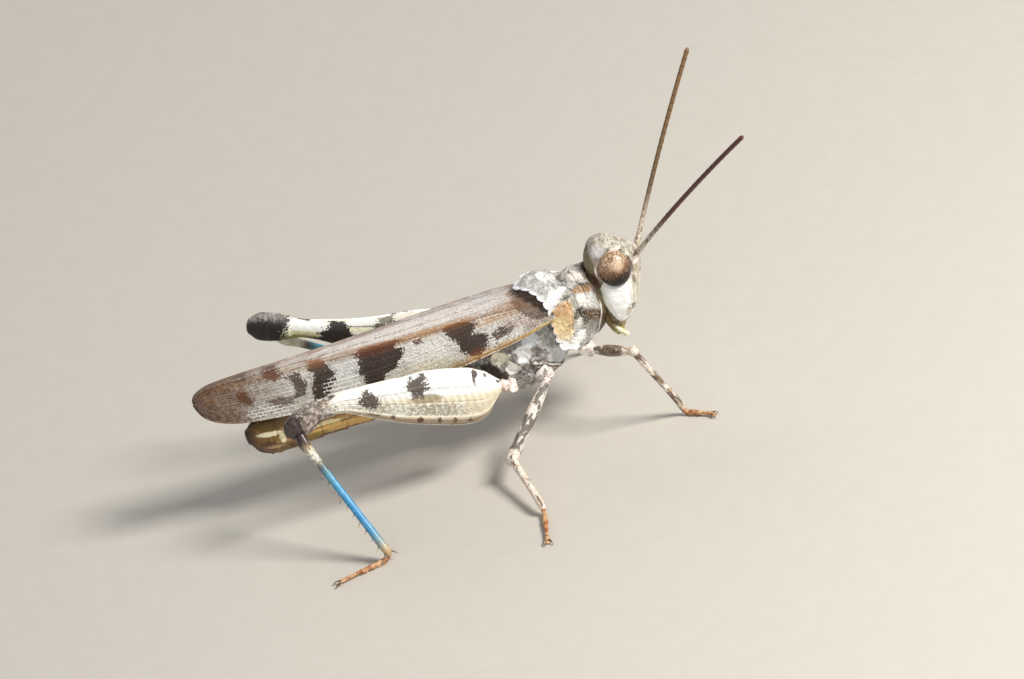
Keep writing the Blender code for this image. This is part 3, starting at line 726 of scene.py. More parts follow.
eyeCoat = eyeFinish()
for name, side in bothSides:
    centre = onSide(head["eye"], side)
    lean = Matrix.Rotation(math.radians(head["eyeLean"]) * side, 3, "X")
    form = ballForm(centre, head["eyeRadii"], lean, 96, 64)
    addPiece("eyeBall_" + name, [form], eyeCoat, ("eye_" + name,))


mouth = {"low": 4.62, "high": 6.3, "rows": 70, "columns": 96,
         # height, rear x, front x, half width
         "sections": ((4.62, 6.68, 7.05, 0.3), (4.9, 6.54, 7.26, 0.44), (5.25, 6.4, 7.44, 0.54),
                      (5.6, 6.3, 7.56, 0.62), (5.95, 6.22, 7.4, 0.66), (6.3, 6.26, 7.1, 0.62)),
         # joints of a feeling palp, from the mouth outward
         "palp": ((6.8, 0.55, 5.5), (6.88, 0.76, 5.4), (7.03, 0.84, 5.22), (7.18, 0.84, 5.04),
                  (7.32, 0.8, 4.84))}


def mouthForm():
    z = np.linspace(mouth["low"], mouth["high"], mouth["rows"])
    rear, front, half = smooth(mouth["sections"], z).T
    extra = np.array([0, 0.4, 0.75, 0.93])
    z = np.r_[mouth["low"] - 0.08 * np.sqrt(1 - extra**2), z, mouth["high"] + 0.02]
    size = np.r_[extra, np.ones(mouth["rows"]), 0]
    rear, front, half = (np.r_[np.full(4, a[0]), a, a[-1:]] for a in (rear, front, half))
    angle = np.linspace(0, fullTurn, mouth["columns"] + 1)[None, :]
    x = ((rear + front) / 2)[:, None] + ((front - rear) / 2 * size)[:, None] * power(np.cos(angle), 0.85)
    y = (half * size)[:, None] * power(np.sin(angle), 0.85)
    grid = np.stack([x, y, z[:, None] + 0 * angle], -1)
    # grooves between the lip, the jaws and the parts behind them
    x, side, level = grid[..., 0], np.abs(grid[..., 1]), grid[..., 2]
    rise = -0.05 * bell(side, 0.22, 0.05) - 0.05 * bell(level + 0.3 * (x - 6.9), 5.1, 0.04)
    rise += (-0.07 * bell(x + 0.35 * (level - 5.4), 6.85, 0.05) * step(side, 0.2, 0.35)
             + 0.02 * softNoise(grid, 0.2, 9))
    grid = grid + normalsOf(grid) * rise[..., None]
    return sheetForm(grid, z[:, None] / flatReach, angle / fullTurn)


def palpForms(side):
    # four short joints, each a little club
    stops = onSide(mouth["palp"], side)
    forms = []
    for a, b, wide in zip(stops[:-1], stops[1:], (0.12, 0.13, 0.145, 0.15)):
        middle = (a + b) / 2
        forms.append(tubeForm([(a, wide * 0.75), (middle, wide), (b, wide * 1.05)], 14, 20, (0.3, 0, 1)))
    return forms


def mouthFinish():
    # brown behind, yellow-green below, horn-coloured in front
    f = Finish("mouthCuticle", 0.42)
    x, _, height = f.parts(f.drawn)
    edge = f.ragged(0.3, 0.1, 1, 0.6)
    colour = f.mottled((104, 82, 42), (146, 126, 76), 0.3, 4, 0.38, 0.62)
    colour = f.mix(f.ramp(height + edge, 5.3, 5), colour, (190, 184, 102))
    colour = f.mix(f.ramp(x + edge, 6.95, 7.3) * 0.7, colour, (198, 184, 146))
    colour = f.speckle(colour, ((84, 60, 36), 0.7, 0.16, 0.3, 2))
    return f.done(colour, None, f.grain(0.08, 3), 0.02)


mouthCoat = mouthFinish()
palpCoat = plainFinish("palpCuticle", 0.42, ((216, 202, 158), (250, 242, 218), 0.2, 5, 0.38, 0.62), 0.05)
addPiece("mouthParts", [mouthForm()], mouthCoat, ("mouthparts",))
for name, side in bothSides:
    addPiece("feelPalp_" + name, palpForms(side), palpCoat, ("palp_" + name,))


# geometry node trees

def newTree(name, inputs):
    tree = bpy.data.node_groups.new(name, "GeometryNodeTree")
    tree.interface.new_socket("Geometry", in_out="INPUT", socket_type="NodeSocketGeometry")
    for label, value in inputs.items():
        made = tree.interface.new_socket(label, in_out="INPUT", socket_type="NodeSocketFloat")
        made.default_value = value
    tree.interface.new_socket("Finish", in_out="INPUT", socket_type="NodeSocketMaterial")
    tree.interface.new_socket("Geometry", in_out="OUTPUT", socket_type="NodeSocketGeometry")
    return tree, tree.nodes.new("NodeGroupInput").outputs


def grow(tree, kind, fed, out=0, **settings):
    # a node with its sockets fed, read at one of its outputs
    made = tree.nodes.new(kind)
    for key, value in settings.items():
        setattr(made, key, value)
    for key, value in fed.items():
        if isinstance(value, bpy.types.NodeSocket):
            tree.links.new(value, made.inputs[key])
        else:
            made.inputs[key].default_value = value
    return made.outputs[out]


def count(tree, operation, *values):
    return grow(tree, "ShaderNodeMath", dict(enumerate(values)), operation=operation)


def endTree(tree, given, shape):
    # every tree ends alike: instances made real, then the finish
    real = grow(tree, "GeometryNodeRealizeInstances", {"Geometry": shape})
    painted = grow(tree, "GeometryNodeSetMaterial", {"Geometry": real, "Material": given["Finish"]})
    tree.links.new(painted, tree.nodes.new("NodeGroupOutput").inputs["Geometry"])
    return tree


def onPoints(tree, given, shape):
    # the shape standing at every point, along its aim and at its size
    attribute = "GeometryNodeInputNamedAttribute"
    aim = grow(tree, attribute, {"Name": "aim"}, "Attribute", data_type="FLOAT_VECTOR")
    size = grow(tree, attribute, {"Name": "size"}, "Attribute", data_type="FLOAT")
    turn = grow(tree, "FunctionNodeAlignRotationToVector", {"Vector": aim}, "Rotation", axis="Z")
    fed = {"Points": given["Geometry"], "Instance": shape, "Rotation": turn, "Scale": size}
    return grow(tree, "GeometryNodeInstanceOnPoints", fed, "Instances")


def runTree(tree, mesh, values, name):
    # lay the tree on a mesh and return its result as a plain mesh
    carrier = newObject("carrier", mesh)
    modifier = carrier.modifiers.new("grow", "NODES")
    modifier.node_group = tree
    for item in tree.interface.items_tree:
        if item.item_type == "SOCKET" and item.in_out == "INPUT" and item.name in values:
            modifier[item.identifier] = values[item.name]
    bpy.context.view_layer.update()
    seen = carrier.evaluated_get(bpy.context.evaluated_depsgraph_get())
    made = bpy.data.meshes.new_from_object(seen)
    made.name = name
    carrier.modifiers.remove(modifier)
    bpy.data.objects.remove(carrier, do_unlink=True)
    return made


def feelerTree():
    # a jointed rod along a line: the joints swell a little and the rod thins towards its tip
    tree, given = newTree("feelerJoints",
                          {"Root radius": 0.15, "Tip radius": 0.1, "Joints": 24.0, "Swell": 0.1})
    along = grow(tree, "GeometryNodeSplineParameter", {}, "Factor")
    thin = grow(tree, "ShaderNodeMapRange",
                {"Value": along, "To Min": given["Root radius"], "To Max": given["Tip radius"]})
    phase = count(tree, "FRACT", count(tree, "MULTIPLY", along, given["Joints"]))
    hump = count(tree, "POWER", count(tree, "SINE", count(tree, "MULTIPLY", phase, math.pi)), 0.45)
    swollen = count(tree, "MULTIPLY_ADD", hump, given["Swell"], 1.0)
    close = count(tree, "MINIMUM", 1.0, count(tree, "MULTIPLY", count(tree, "SUBTRACT", 1.0, along), 60.0))
    size = count(tree, "MULTIPLY", count(tree, "MULTIPLY", thin, swollen), count(tree, "SQRT", close))
    line = grow(tree, "GeometryNodeMeshToCurve", {"Mesh": given["Geometry"]})
    even = grow(tree, "GeometryNodeResampleCurve", {"Curve": line, "Count": 420})
    sized = grow(tree, "GeometryNodeSetCurveRadius", {"Curve": even, "Radius": size})
    ring = grow(tree, "GeometryNodeCurvePrimitiveCircle", {"Resolution": 20, "Radius": mm})
    fed = {"Curve": sized, "Profile Curve": ring, "Scale": size, "Fill Caps": True}
    return endTree(tree, given, grow(tree, "GeometryNodeCurveToMesh", fed))


def lineMesh(points):
    return newMesh("line", points, [(i, i + 1) for i in range(len(points) - 1)])


def feelerFinish(name, near, middle, far):
    # pale and flecked at the root, darker further out, with a dark line at each joint
    f = Finish(name, 0.42)
    x, _, z = head["feelerRoot"]
    away = f.vector("LENGTH", f.vector("SUBTRACT", f.drawn, (x, 0, z)))
    colour = f.scale(away / 12, ((0, near), (0.12, near), (0.3, middle), (0.9, far), (1, far)))
    rings = f.ramp(f.sum("SINE", away * 15), 0.55, 1)
    colour = f.mix(rings * 0.45, colour, (58, 36, 26))
    root = f.ramp(away, 3.4, 0.6)
    colour = f.mix(f.flecks(0.16, 0.5, 2) * root * 0.8, colour, (222, 208, 188))
    return f.done(colour, None, f.grain(0.05), 0.012)


feelerCoat = {"right": feelerFinish("feelerReddish", (136, 116, 98), (92, 58, 44), (92, 48, 40)),
              "left": feelerFinish("feelerOlive", (140, 122, 100), (110, 86, 58), (124, 92, 56))}
feelers = feelerTree()
for name, side in bothSides:
    root = onSide(head["feelerRoot"], side)
    tip = np.array(head["feelerTips"][name])
    bow = np.array(head["feelerBow"][name])
    t = np.linspace(0, 1, 60)[:, None]
    line = root + (tip - root) * t + bow * 4 * t * (1 - t)
    mesh = runTree(feelers, lineMesh(line),
                   {"Root radius": 0.118, "Tip radius": 0.115, "Joints": 24.0, "Swell": 0.14,
                    "Finish": feelerCoat[name]}, "feeler_" + name)
    finishMesh("feeler_" + name, mesh, feelerCoat[name], ("antenna_" + name,))
    ahead = (line[3] - line[0]) / np.linalg.norm(line[3] - line[0])
    first = ((root - ahead * 0.1, 0.13), (root + ahead * 0.22, 0.175), (root + ahead * 0.42, 0.14))
    second = ((root + ahead * 0.44, 0.12), (root + ahead * 0.56, 0.14), (root + ahead * 0.7, 0.12))
    knobs = [tubeForm(first, 24, 32), tubeForm(second, 16, 28)]
    addPiece("feelerRoot_" + name, knobs, feelerCoat[name])
print("head is built")


# collar plate behind the head

plate = {"rim": ((0, 6.02), (0.2, 6.2), (0.4, 6.42), (0.55, 6.5), (0.64, 6.48), (0.756, 6.35), (0.866, 6.1),
                 (0.93, 5.85), (1, 5.4)),
         "tip": 2.13, "corner": 3.85, "half": 1.62, "sideTop": 7.75, "lobe": 5.25, "shoulder": 0.58,
         "crown": ((6.05, 9.2), (5.4, 9.28), (4.65, 9.08), (3.8, 9.5), (2.9, 9.48), (2.13, 9.12)),
         "rows": 170, "columns": 280, "thickness": 0.3,
         "furrows": ((0.2, 0.035), (0.38, 0.035), (0.56, 0.05)),
         "granules": 1500, "beads": 31}


def hindMargin(y):
    return plate["tip"] + 1.07 * (np.hypot(y, 0.2) - 0.2)


def plateGrid(inset):
    along = np.linspace(0, 1, plate["rows"])[:, None]
    place = np.linspace(-1, 1, plate["columns"])[None, :]
    side, share = np.sign(place), np.abs(place)
    half = plate["half"] * (1 - 0.1 * np.sin(math.pi * np.minimum(along * 1.6, 1)))
    half = half * (0.9 + 0.1 * np.minimum(along * 2, 1))
    angle = np.minimum(share / plate["shoulder"], 1) * math.pi / 2
    outward = np.sin(angle) ** 0.9
    rise = np.clip(np.cos(angle), 0, 1) ** 0.8
    drop = np.clip((share - plate["shoulder"]) / (1 - plate["shoulder"]), 0, 1)
    y = (half - inset) * outward * (1 - 0.08 * drop)
    front = smooth(plate["rim"], share[0])[None, :]
    rear = np.minimum(hindMargin(y * half / (half - inset)), plate["corner"]) + 0.35 * drop**6
    # rounded beads along the hind edge
    rear = rear + (0.08 - 0.15 * np.abs(np.sin(share * plate["beads"])) ** 0.6) * step(share, 0.02, 0.08)
    front = front + 0.03 * np.sin(share * 21)
    x = front + (rear - front) * along
    z = plate["sideTop"] + (smooth(plate["crown"], x) - inset - plate["sideTop"]) * rise
    z = z - (plate["sideTop"] - plate["lobe"]) * drop * (0.9 + 0.1 * np.sin(math.pi * along))
    z = z - 0.1 * np.abs(np.sin(along * 11 + 0.4)) * drop**4 * np.sin(math.pi * along) ** 0.3
    return np.stack([x, side * y, z], -1), along + 0 * place, place + 0 * along


def plateRelief(p, along, place):
    share = np.abs(place)
    rise = 0.04 * softNoise(p, 0.5, 11) + 0.016 * softNoise(p, 0.19, 12) + 0.008 * softNoise(p, 0.09, 16)
    rise += 0.07 * np.abs(np.sin(share * plate["beads"])) ** 0.8 * step(along, 0.9, 0.96)
    keel = 0.11 * bell(p[..., 1], 0, 0.07)
    for at, wide in plate["furrows"]:
        bent = at + 0.06 * share**2 + 0.03 * softNoise(p, 0.6, 13) + 0.012 * softNoise(p, 0.2, 14)
        cut = bell(along, bent, wide * 0.5)
        keel = keel * (1 - 0.9 * cut)
        depth = 0.035 + 0.05 * step(share, 0.5, 0.2) + 0.03 * step(at, 0.5, 0.55)
        rise = rise - depth * cut * step(share, 0.95, 0.75)
    rise += keel
    # shoulders, strong behind the last furrow and broken in front of it
    rise += 0.07 * bell(share, plate["shoulder"] * 0.78, 0.035) * (0.35 + 0.65 * step(along, 0.5, 0.62))
    rise += (0.06 * bell(along, 0.015, 0.03) + 0.04 * bell(along, 0.985, 0.02)
             + 0.05 * bell(share, 0.985, 0.02))
    return rise


outer, along, place = plateGrid(0)
inner, _, _ = plateGrid(plate["thickness"])
inner = outer + (inner - outer) * (0.35 + 0.65 * step(along, 1, 0.85))[..., None]
facing = openNormals(outer)
if facing[plate["rows"] // 2, plate["columns"] // 2, 2] < 0:
    facing = -facing
outer = outer + facing * plateRelief(outer, along, place)[..., None]
plate["long"], plate["deep"] = 4, 4.4    # mm along the plate, and down from its crown
plate["bands"] = (
    # rows along the plate (place, from, to as shares of the way down), tone, strength
    # dark in the dip of the crown: painted shade
    (((0.3, 0, 0.06), (0.33, 0, 0.13), (0.37, 0, 0.11), (0.4, 0, 0.04)), (82, 74, 64), 0.9),
    # pale crest along the top: partly its own pale colour and partly a painted highlight
    (((0.42, 0, 0.03), (0.48, 0, 0.05), (0.56, 0, 0.06), (0.61, 0, 0.1), (0.65, 0, 0.04)), (244, 244, 241),
     0.85),
    (((0.04, 0.1, 0.2), (0.1, 0.08, 0.2), (0.17, 0.02, 0.2), (0.2, 0.06, 0.21), (0.25, 0.08, 0.18)),
     (240, 228, 216), 0.85),
    (((0.4, 0.14, 0.185), (0.48, 0.135, 0.18), (0.56, 0.15, 0.172)), (112, 104, 92), 0.8),
    (((0.36, 0.235, 0.265), (0.45, 0.205, 0.28), (0.5, 0.2, 0.3), (0.56, 0.22, 0.33), (0.62, 0.245, 0.36),
      (0.7, 0.28, 0.395), (0.8, 0.34, 0.49), (0.9, 0.385, 0.53), (1, 0.42, 0.57)), (255, 254, 251), 1),
    (((0.03, 0.33, 0.37), (0.08, 0.32, 0.43), (0.15, 0.31, 0.455), (0.22, 0.31, 0.44), (0.3, 0.33, 0.42),
      (0.37, 0.34, 0.4)), (166, 124, 80), 0.95),
    (((0.04, 0.29, 0.32), (0.1, 0.265, 0.34), (0.16, 0.26, 0.33), (0.22, 0.27, 0.325), (0.28, 0.29, 0.31)),
     (94, 74, 58), 0.95),
    (((0, 0.49, 0.71), (0.05, 0.47, 0.69), (0.1, 0.45, 0.67), (0.2, 0.44, 0.65), (0.3, 0.43, 0.62),
      (0.36, 0.45, 0.6), (0.41, 0.5, 0.56)), (252, 249, 242), 0.95),
    (((0.36, 0.43, 0.5), (0.4, 0.42, 0.59), (0.45, 0.42, 0.6), (0.51, 0.43, 0.56)), (160, 156, 142), 0.8),
    (((0, 0.72, 0.8), (0.05, 0.69, 0.8), (0.12, 0.67, 0.79), (0.2, 0.66, 0.77), (0.28, 0.69, 0.76)),
     (98, 70, 50), 0.95),
    (((0.2, 0.66, 0.74), (0.27, 0.63, 0.76), (0.33, 0.6, 0.75), (0.38, 0.59, 0.72), (0.44, 0.59, 0.7),
      (0.5, 0.61, 0.7), (0.56, 0.62, 0.7), (0.61, 0.64, 0.68)), (62, 60, 50), 1),
    (((0.02, 0.68, 0.76), (0.1, 0.655, 0.77), (0.2, 0.64, 0.76), (0.3, 0.63, 0.74)), (104, 80, 58), 0.9),
    (((0.2, 0.77, 0.79), (0.3, 0.75, 0.81), (0.36, 0.76, 0.81), (0.43, 0.78, 0.8)), (92, 86, 72), 0.9),
    (((0.365, 0.74, 0.76), (0.4, 0.715, 0.785), (0.45, 0.7, 0.775), (0.51, 0.72, 0.75)), (246, 243, 230), 1),
    (((0, 0.82, 0.9), (0.05, 0.81, 0.93), (0.12, 0.82, 0.9)), (128, 120, 106), 0.8),
    (((0.1, 0.78, 0.86), (0.18, 0.77, 0.9), (0.26, 0.78, 0.92), (0.33, 0.8, 0.88)), (150, 144, 134), 0.8),
    (((0.3, 0.86, 0.96), (0.38, 0.83, 0.94), (0.46, 0.83, 0.95), (0.52, 0.86, 1.02), (0.6, 0.87, 1.02),
      (0.7, 0.88, 1.02), (0.8, 0.88, 1.02), (0.99, 0.88, 1.02)), (255, 254, 252), 1),
    (((0.5, 0.47, 0.56), (0.54, 0.44, 0.66), (0.6, 0.43, 0.78), (0.66, 0.435, 0.85), (0.74, 0.46, 0.88),
      (0.84, 0.505, 0.87), (0.92, 0.55, 0.82), (0.98, 0.59, 0.74)), (226, 192, 146), 1),
    (((0.53, 0.5, 0.57), (0.58, 0.445, 0.6), (0.66, 0.45, 0.62), (0.76, 0.48, 0.63), (0.88, 0.54, 0.64)),
     (204, 156, 108), 0.85),
    (((0.7, 0.65, 0.7), (0.76, 0.62, 0.75), (0.82, 0.61, 0.77), (0.92, 0.66, 0.74)), (242, 222, 164), 0.8),
    (((0.58, 0.79, 0.84), (0.66, 0.8, 0.88), (0.75, 0.81, 0.89), (0.86, 0.8, 0.88), (0.94, 0.78, 0.84)),
     (252, 234, 196), 0.95),
    (((0.4, 0.36, 0.38), (0.45, 0.352, 0.41), (0.51, 0.36, 0.415), (0.57, 0.372, 0.41),
      (0.64, 0.392, 0.41)), (86, 76, 50), 0.95),
)
plate["spots"] = (
    ((0.61, 0.735), (0.02, 0.012), (96, 70, 38), 0.9), ((0.67, 0.73), (0.016, 0.012), (110, 80, 44), 0.9),
    ((0.8, 0.57), (0.02, 0.012), (150, 104, 60), 0.8), ((0.68, 0.5), (0.018, 0.014), (150, 102, 62), 0.8),
    ((0.76, 0.47), (0.016, 0.01), (130, 92, 50), 0.8), ((0.42, 0.96), (0.04, 0.012), (104, 100, 88), 0.8),
    ((0.03, 0.14), (0.03, 0.1), (116, 104, 76), 0.7), ((0.015, 0.36), (0.025, 0.08), (78, 56, 36), 0.9),
    ((0.83, 0.3), (0.02, 0.012), (132, 130, 122), 0.7), ((0.72, 0.07), (0.05, 0.03), (138, 134, 126), 0.7),
)


def plateFinish():
    # laid out as place along the plate and share of the way down from the crown
    f = Finish("collarCuticle", 0.7, Specular_IOR_Level=0.3)
    u, share = f.attribute("alongPlate"), f.attribute("downPlate")
    long, down = u * plate["long"], share * plate["deep"]
    where, edge = f.join(long, down), f.ragged(0.3, 0.09, 0.5, 0.6)
    grey = f.mottled((166, 165, 162), (202, 202, 200), 0.3, 4, 0.38, 0.64)
    grey = f.speckle(grey, ((126, 122, 114), 0.5, 0.085, 0.34, 4),
                           ((238, 238, 236), 0.45, 0.15, 0.26, 8))
    front = f.ramp(u, 0.5, 0.3) * f.ramp(share, 0.45, 0.3)
    colour = f.mix(front * 0.6, grey, f.mottled((138, 130, 122), (206, 198, 190), 0.22, 4, 0.4, 0.6))
    colour = f.bands(colour, down, u, plate["bands"], plate["long"], edge, 0.12, plate["deep"])
    colour = f.patches(colour, where, plate["spots"], edge, 0.3, (plate["long"], plate["deep"], 1))
    colour = f.speckle(colour, ((150, 122, 88), 0.4, 0.09, 0.26, 12),
                               ((250, 244, 228), 0.35, 0.12, 0.3, 21))
    # brown rim behind the head
    rim = f.mix(f.ramp(share, 0.56, 0.62), (98, 66, 38), (242, 238, 228))
    colour = f.mix(f.ramp(u, 0.03, 0.015) * 0.85, colour, rim)
    # worn pale knobs along the hind edge, with painted shade in the gaps between them and a painted shadow
    # on the hind face under the edge
    knobs = f.ramp(u, 0.91, 0.95) * f.ramp(abs(share - 0.68), 0.14, 0.2)
    colour = f.mix(knobs * 0.8, colour, (238, 238, 242))
    gaps = f.ramp(abs(f.sum("SINE", share * plate["beads"])), 0.4, 0.15)
    colour = f.mix(gaps * knobs * 0.45, colour, (120, 112, 106))
    colour = f.mix(f.ramp(u, 0.99, 0.999) * 0.9, colour, (58, 42, 32))
    pits = f.cells(f.drawn, 0.1)
    bumps = pits * -0.5 + f.grain(0.05, 3) * 0.5
    return f.done(colour, f.ramp(f.grain(0.3), 0.3, 0.7, 0.6, 0.8), bumps, 0.025)


plateCoat = plateFinish()
down = np.abs(place)
addPiece("collarPlate", [shellForm(outer, inner, along, place)], plateCoat, ("pronotum",),
         {"alongPlate": np.tile(along.ravel(), 2), "downPlate": np.tile(down.ravel(), 2)})


def granuleTree():
    # little worn knobs sitting on a surface, flattened a little along their aim
    tree, given = newTree("granules", {"Radius": 0.05})
    radius = count(tree, "MULTIPLY", given["Radius"], mm)
    ball = grow(tree, "GeometryNodeMeshUVSphere", {"Segments": 8, "Rings": 5, "Radius": radius})
    flat = grow(tree, "GeometryNodeTransform", {"Geometry": ball, "Scale": (1, 1, 0.62)})
    return endTree(tree, given, onPoints(tree, given, flat))


def pointMesh(points, aims, sizes, values=None):
    mesh = newMesh("points", points)
    writeValues(mesh, {"aim": aims, "size": sizes, **(values or {})})
    return mesh


chance = np.random.default_rng(12)
row = chance.integers(6, plate["rows"] - 4, plate["granules"])
column = chance.integers(3, plate["columns"] - 3, plate["granules"])
sizes = 0.45 + 0.75 * chance.random(plate["granules"]) ** 2
mesh = runTree(granuleTree(), pointMesh(outer[row, column], facing[row, column], sizes,
                                        {"alongPlate": along[row, column], "downPlate": down[row, column]}),
               {"Radius": 0.05, "Finish": plateCoat}, "collarGranules")
finishMesh("collarGranules", mesh, plateCoat)


# trunk: neck, chest and abdomen in one skin

trunk = {
    "front": 6.75, "chestEnd": -1.5, "rear": -14.3,
    # x, height of the widest level, half width, top, bottom
    "sections": ((6.75, 7.6, 0.98, 8.95, 6.3), (6.1, 6.95, 1.1, 8.82, 5.3), (5.4, 6.6, 0.9, 8.75, 4.95),
                 (4.6, 6.5, 0.95, 8.65, 4.75), (4, 6.05, 1.14, 8.8, 4.62), (3.62, 5.92, 1.22, 8.85, 4.12),
                 (3.2, 5.78, 1.34, 8.85, 3.76), (2.6, 5.7, 1.44, 8.8, 3.5), (1.6, 5.6, 1.5, 8.5, 3.1),
                 (0.2, 5.6, 1.48, 7.9, 3.2), (-0.8, 5.6, 1.4, 7.8, 3.6), (-1.5, 5.6, 1.3, 7.5, 3.88),
                 (-6, 5.25, 1.22, 7, 3.85), (-10, 4.95, 1.05, 6.35, 3.7), (-12.5, 4.86, 0.9, 6, 3.42),
                 (-13.4, 4.88, 0.76, 5.9, 3.5), (-13.95, 4.9, 0.58, 5.62, 3.76),
                 (-14.28, 4.95, 0.34, 5.28, 4.32)),
    "knobs": (((2.1, 6.6), (0.5, 0.46), 0.14), ((1.56, 5.82), (0.56, 0.56), 0.18),
              ((0.84, 5.17), (0.4, 0.42), 0.2), ((0.34, 5.95), (0.5, 0.5), 0.26),
              ((3.35, 5), (0.6, 0.7), 0.14), ((2.2, 5.25), (0.26, 0.2), 0.12),
              ((2.65, 4.95), (0.3, 0.18), 0.12), ((3.1, 6.2), (0.5, 0.5), 0.08)),
    "fold": ((1.9, 5.15, 5.2), (2.2, 4.98, 5.07), (2.5, 4.82, 4.92), (2.8, 4.6, 4.7), (3.1, 4.38, 4.48),
             (3.35, 4.18, 4.27), (3.55, 4.06, 4.12)),
    "rings": (-1.5, -2.9, -4.4, -5.9, -7.4, -8.9, -10.3, -11.6, -12.7), "rows": (190, 230), "columns": 220,
}


def trunkGrid():
    front, middle, rear = trunk["front"], trunk["chestEnd"], trunk["rear"]
    x = np.r_[np.linspace(front, middle, trunk["rows"][0]),
              np.linspace(middle, rear, trunk["rows"][1] + 1)[1:]]
    level, half, top, bottom = smooth(trunk["sections"], x).T
    x = np.r_[front + 0.05 * np.sqrt(1 - closing**2), x, rear - 0.12 * np.sqrt(1 - closing[::-1]**2)]
    size = np.r_[closing, np.ones(len(level)), closing[::-1]]
    level, half, top, bottom = held(level, half, top, bottom)
    angle = np.linspace(0, fullTurn, trunk["columns"] + 1)[None, :]
    up = np.sin(angle)
    reach = np.where(up > 0, (top - level)[:, None], (level - bottom)[:, None]) * size[:, None]
    y = (half * size)[:, None] * power(np.cos(angle), 0.85)
    z = level[:, None] + reach * power(up, 0.95)
    p = np.stack([x[:, None] + 0 * angle, y, z], -1)
    return p, angle + 0 * x[:, None]


def trunkRelief(p, angle):
    x, y, z = p[..., 0], np.abs(p[..., 1]), p[..., 2]
    chest = step(x, -1.6, -1.2)
    rise = chest * (0.05 * softNoise(p, 0.32, 21) + 0.024 * softNoise(p, 0.15, 22))
    rise += (1 - chest) * 0.008 * softNoise(p, 0.2, 23)
    # slanting seams of the chest's side plates
    for foot, slant in ((4.1, 0.3), (3.25, 0.42), (2.15, 0.42), (1.45, 0.42), (0.35, 0.4), (-0.55, 0.38)):
        bent = 0.12 * softNoise(p, 0.7, 24)
        rise -= 0.06 * bell(x, foot + bent - slant * (z - 4.6), 0.06) * step(y, 0.5, 0.9) * step(z, 8, 7.6)
    for at, wide, tall in trunk["knobs"]:
        far = np.hypot((x - at[0]) / wide[0], (z - at[1]) / wide[1])
        rise += (tall * step(far, 1, 0.5) - 0.05 * bell(far, 1.12, 0.1)) * step(y, 0.5, 0.9)
    for foot in (3.7, 2.65, 0.9):
        rise += 0.05 * bell(x, foot - 0.4 * (z - 4.6), 0.28) * step(y, 0.6, 1)
    # rings of the abdomen: each overlaps the next, with a fold along the side
    belly = step(x, -1.3, -1.6)
    edges = np.array(trunk["rings"] + (-14.5,))
    for a, b in zip(edges[:-1], edges[1:]):
        t = (a - x) / (a - b)
        inside = (t >= 0) & (t < 1)
        rise += np.where(inside, belly * (0.035 * step(t, 0, 0.85) - 0.03 * bell(t, 0.02, 0.05)), 0)
    side = np.sin(angle)
    rise -= belly * 0.08 * bell(side, -0.28, 0.06) * step(x, -13.2, -12.6)
    rise += belly * 0.03 * bell(side, -0.16, 0.05)
    # the last plate below, and the two flaps above it
    rise -= 0.06 * bell(x, -13.05 + 0.25 * side, 0.05) * step(side, 0.2, -0.1)
    return rise


grid, angle = trunkGrid()
body = np.r_[np.zeros(4), np.ones(sum(trunk["rows"])), np.zeros(4)][:, None]
grid = grid + normalsOf(grid) * (trunkRelief(grid, angle) * body)[..., None]
trunkForms = [sheetForm(grid, np.linspace(0, 1, len(grid))[:, None], angle / fullTurn)]
for _, side in bothSides:
    flap = (((-13.4, 0.3 * side, 5.75), 0.15, 0.13), ((-13.8, 0.4 * side, 5.72), 0.14, 0.12),
            ((-14.15, 0.46 * side, 5.6), 0.06, 0.05))
    trunkForms.append(tubeForm(flap, 24, 20))


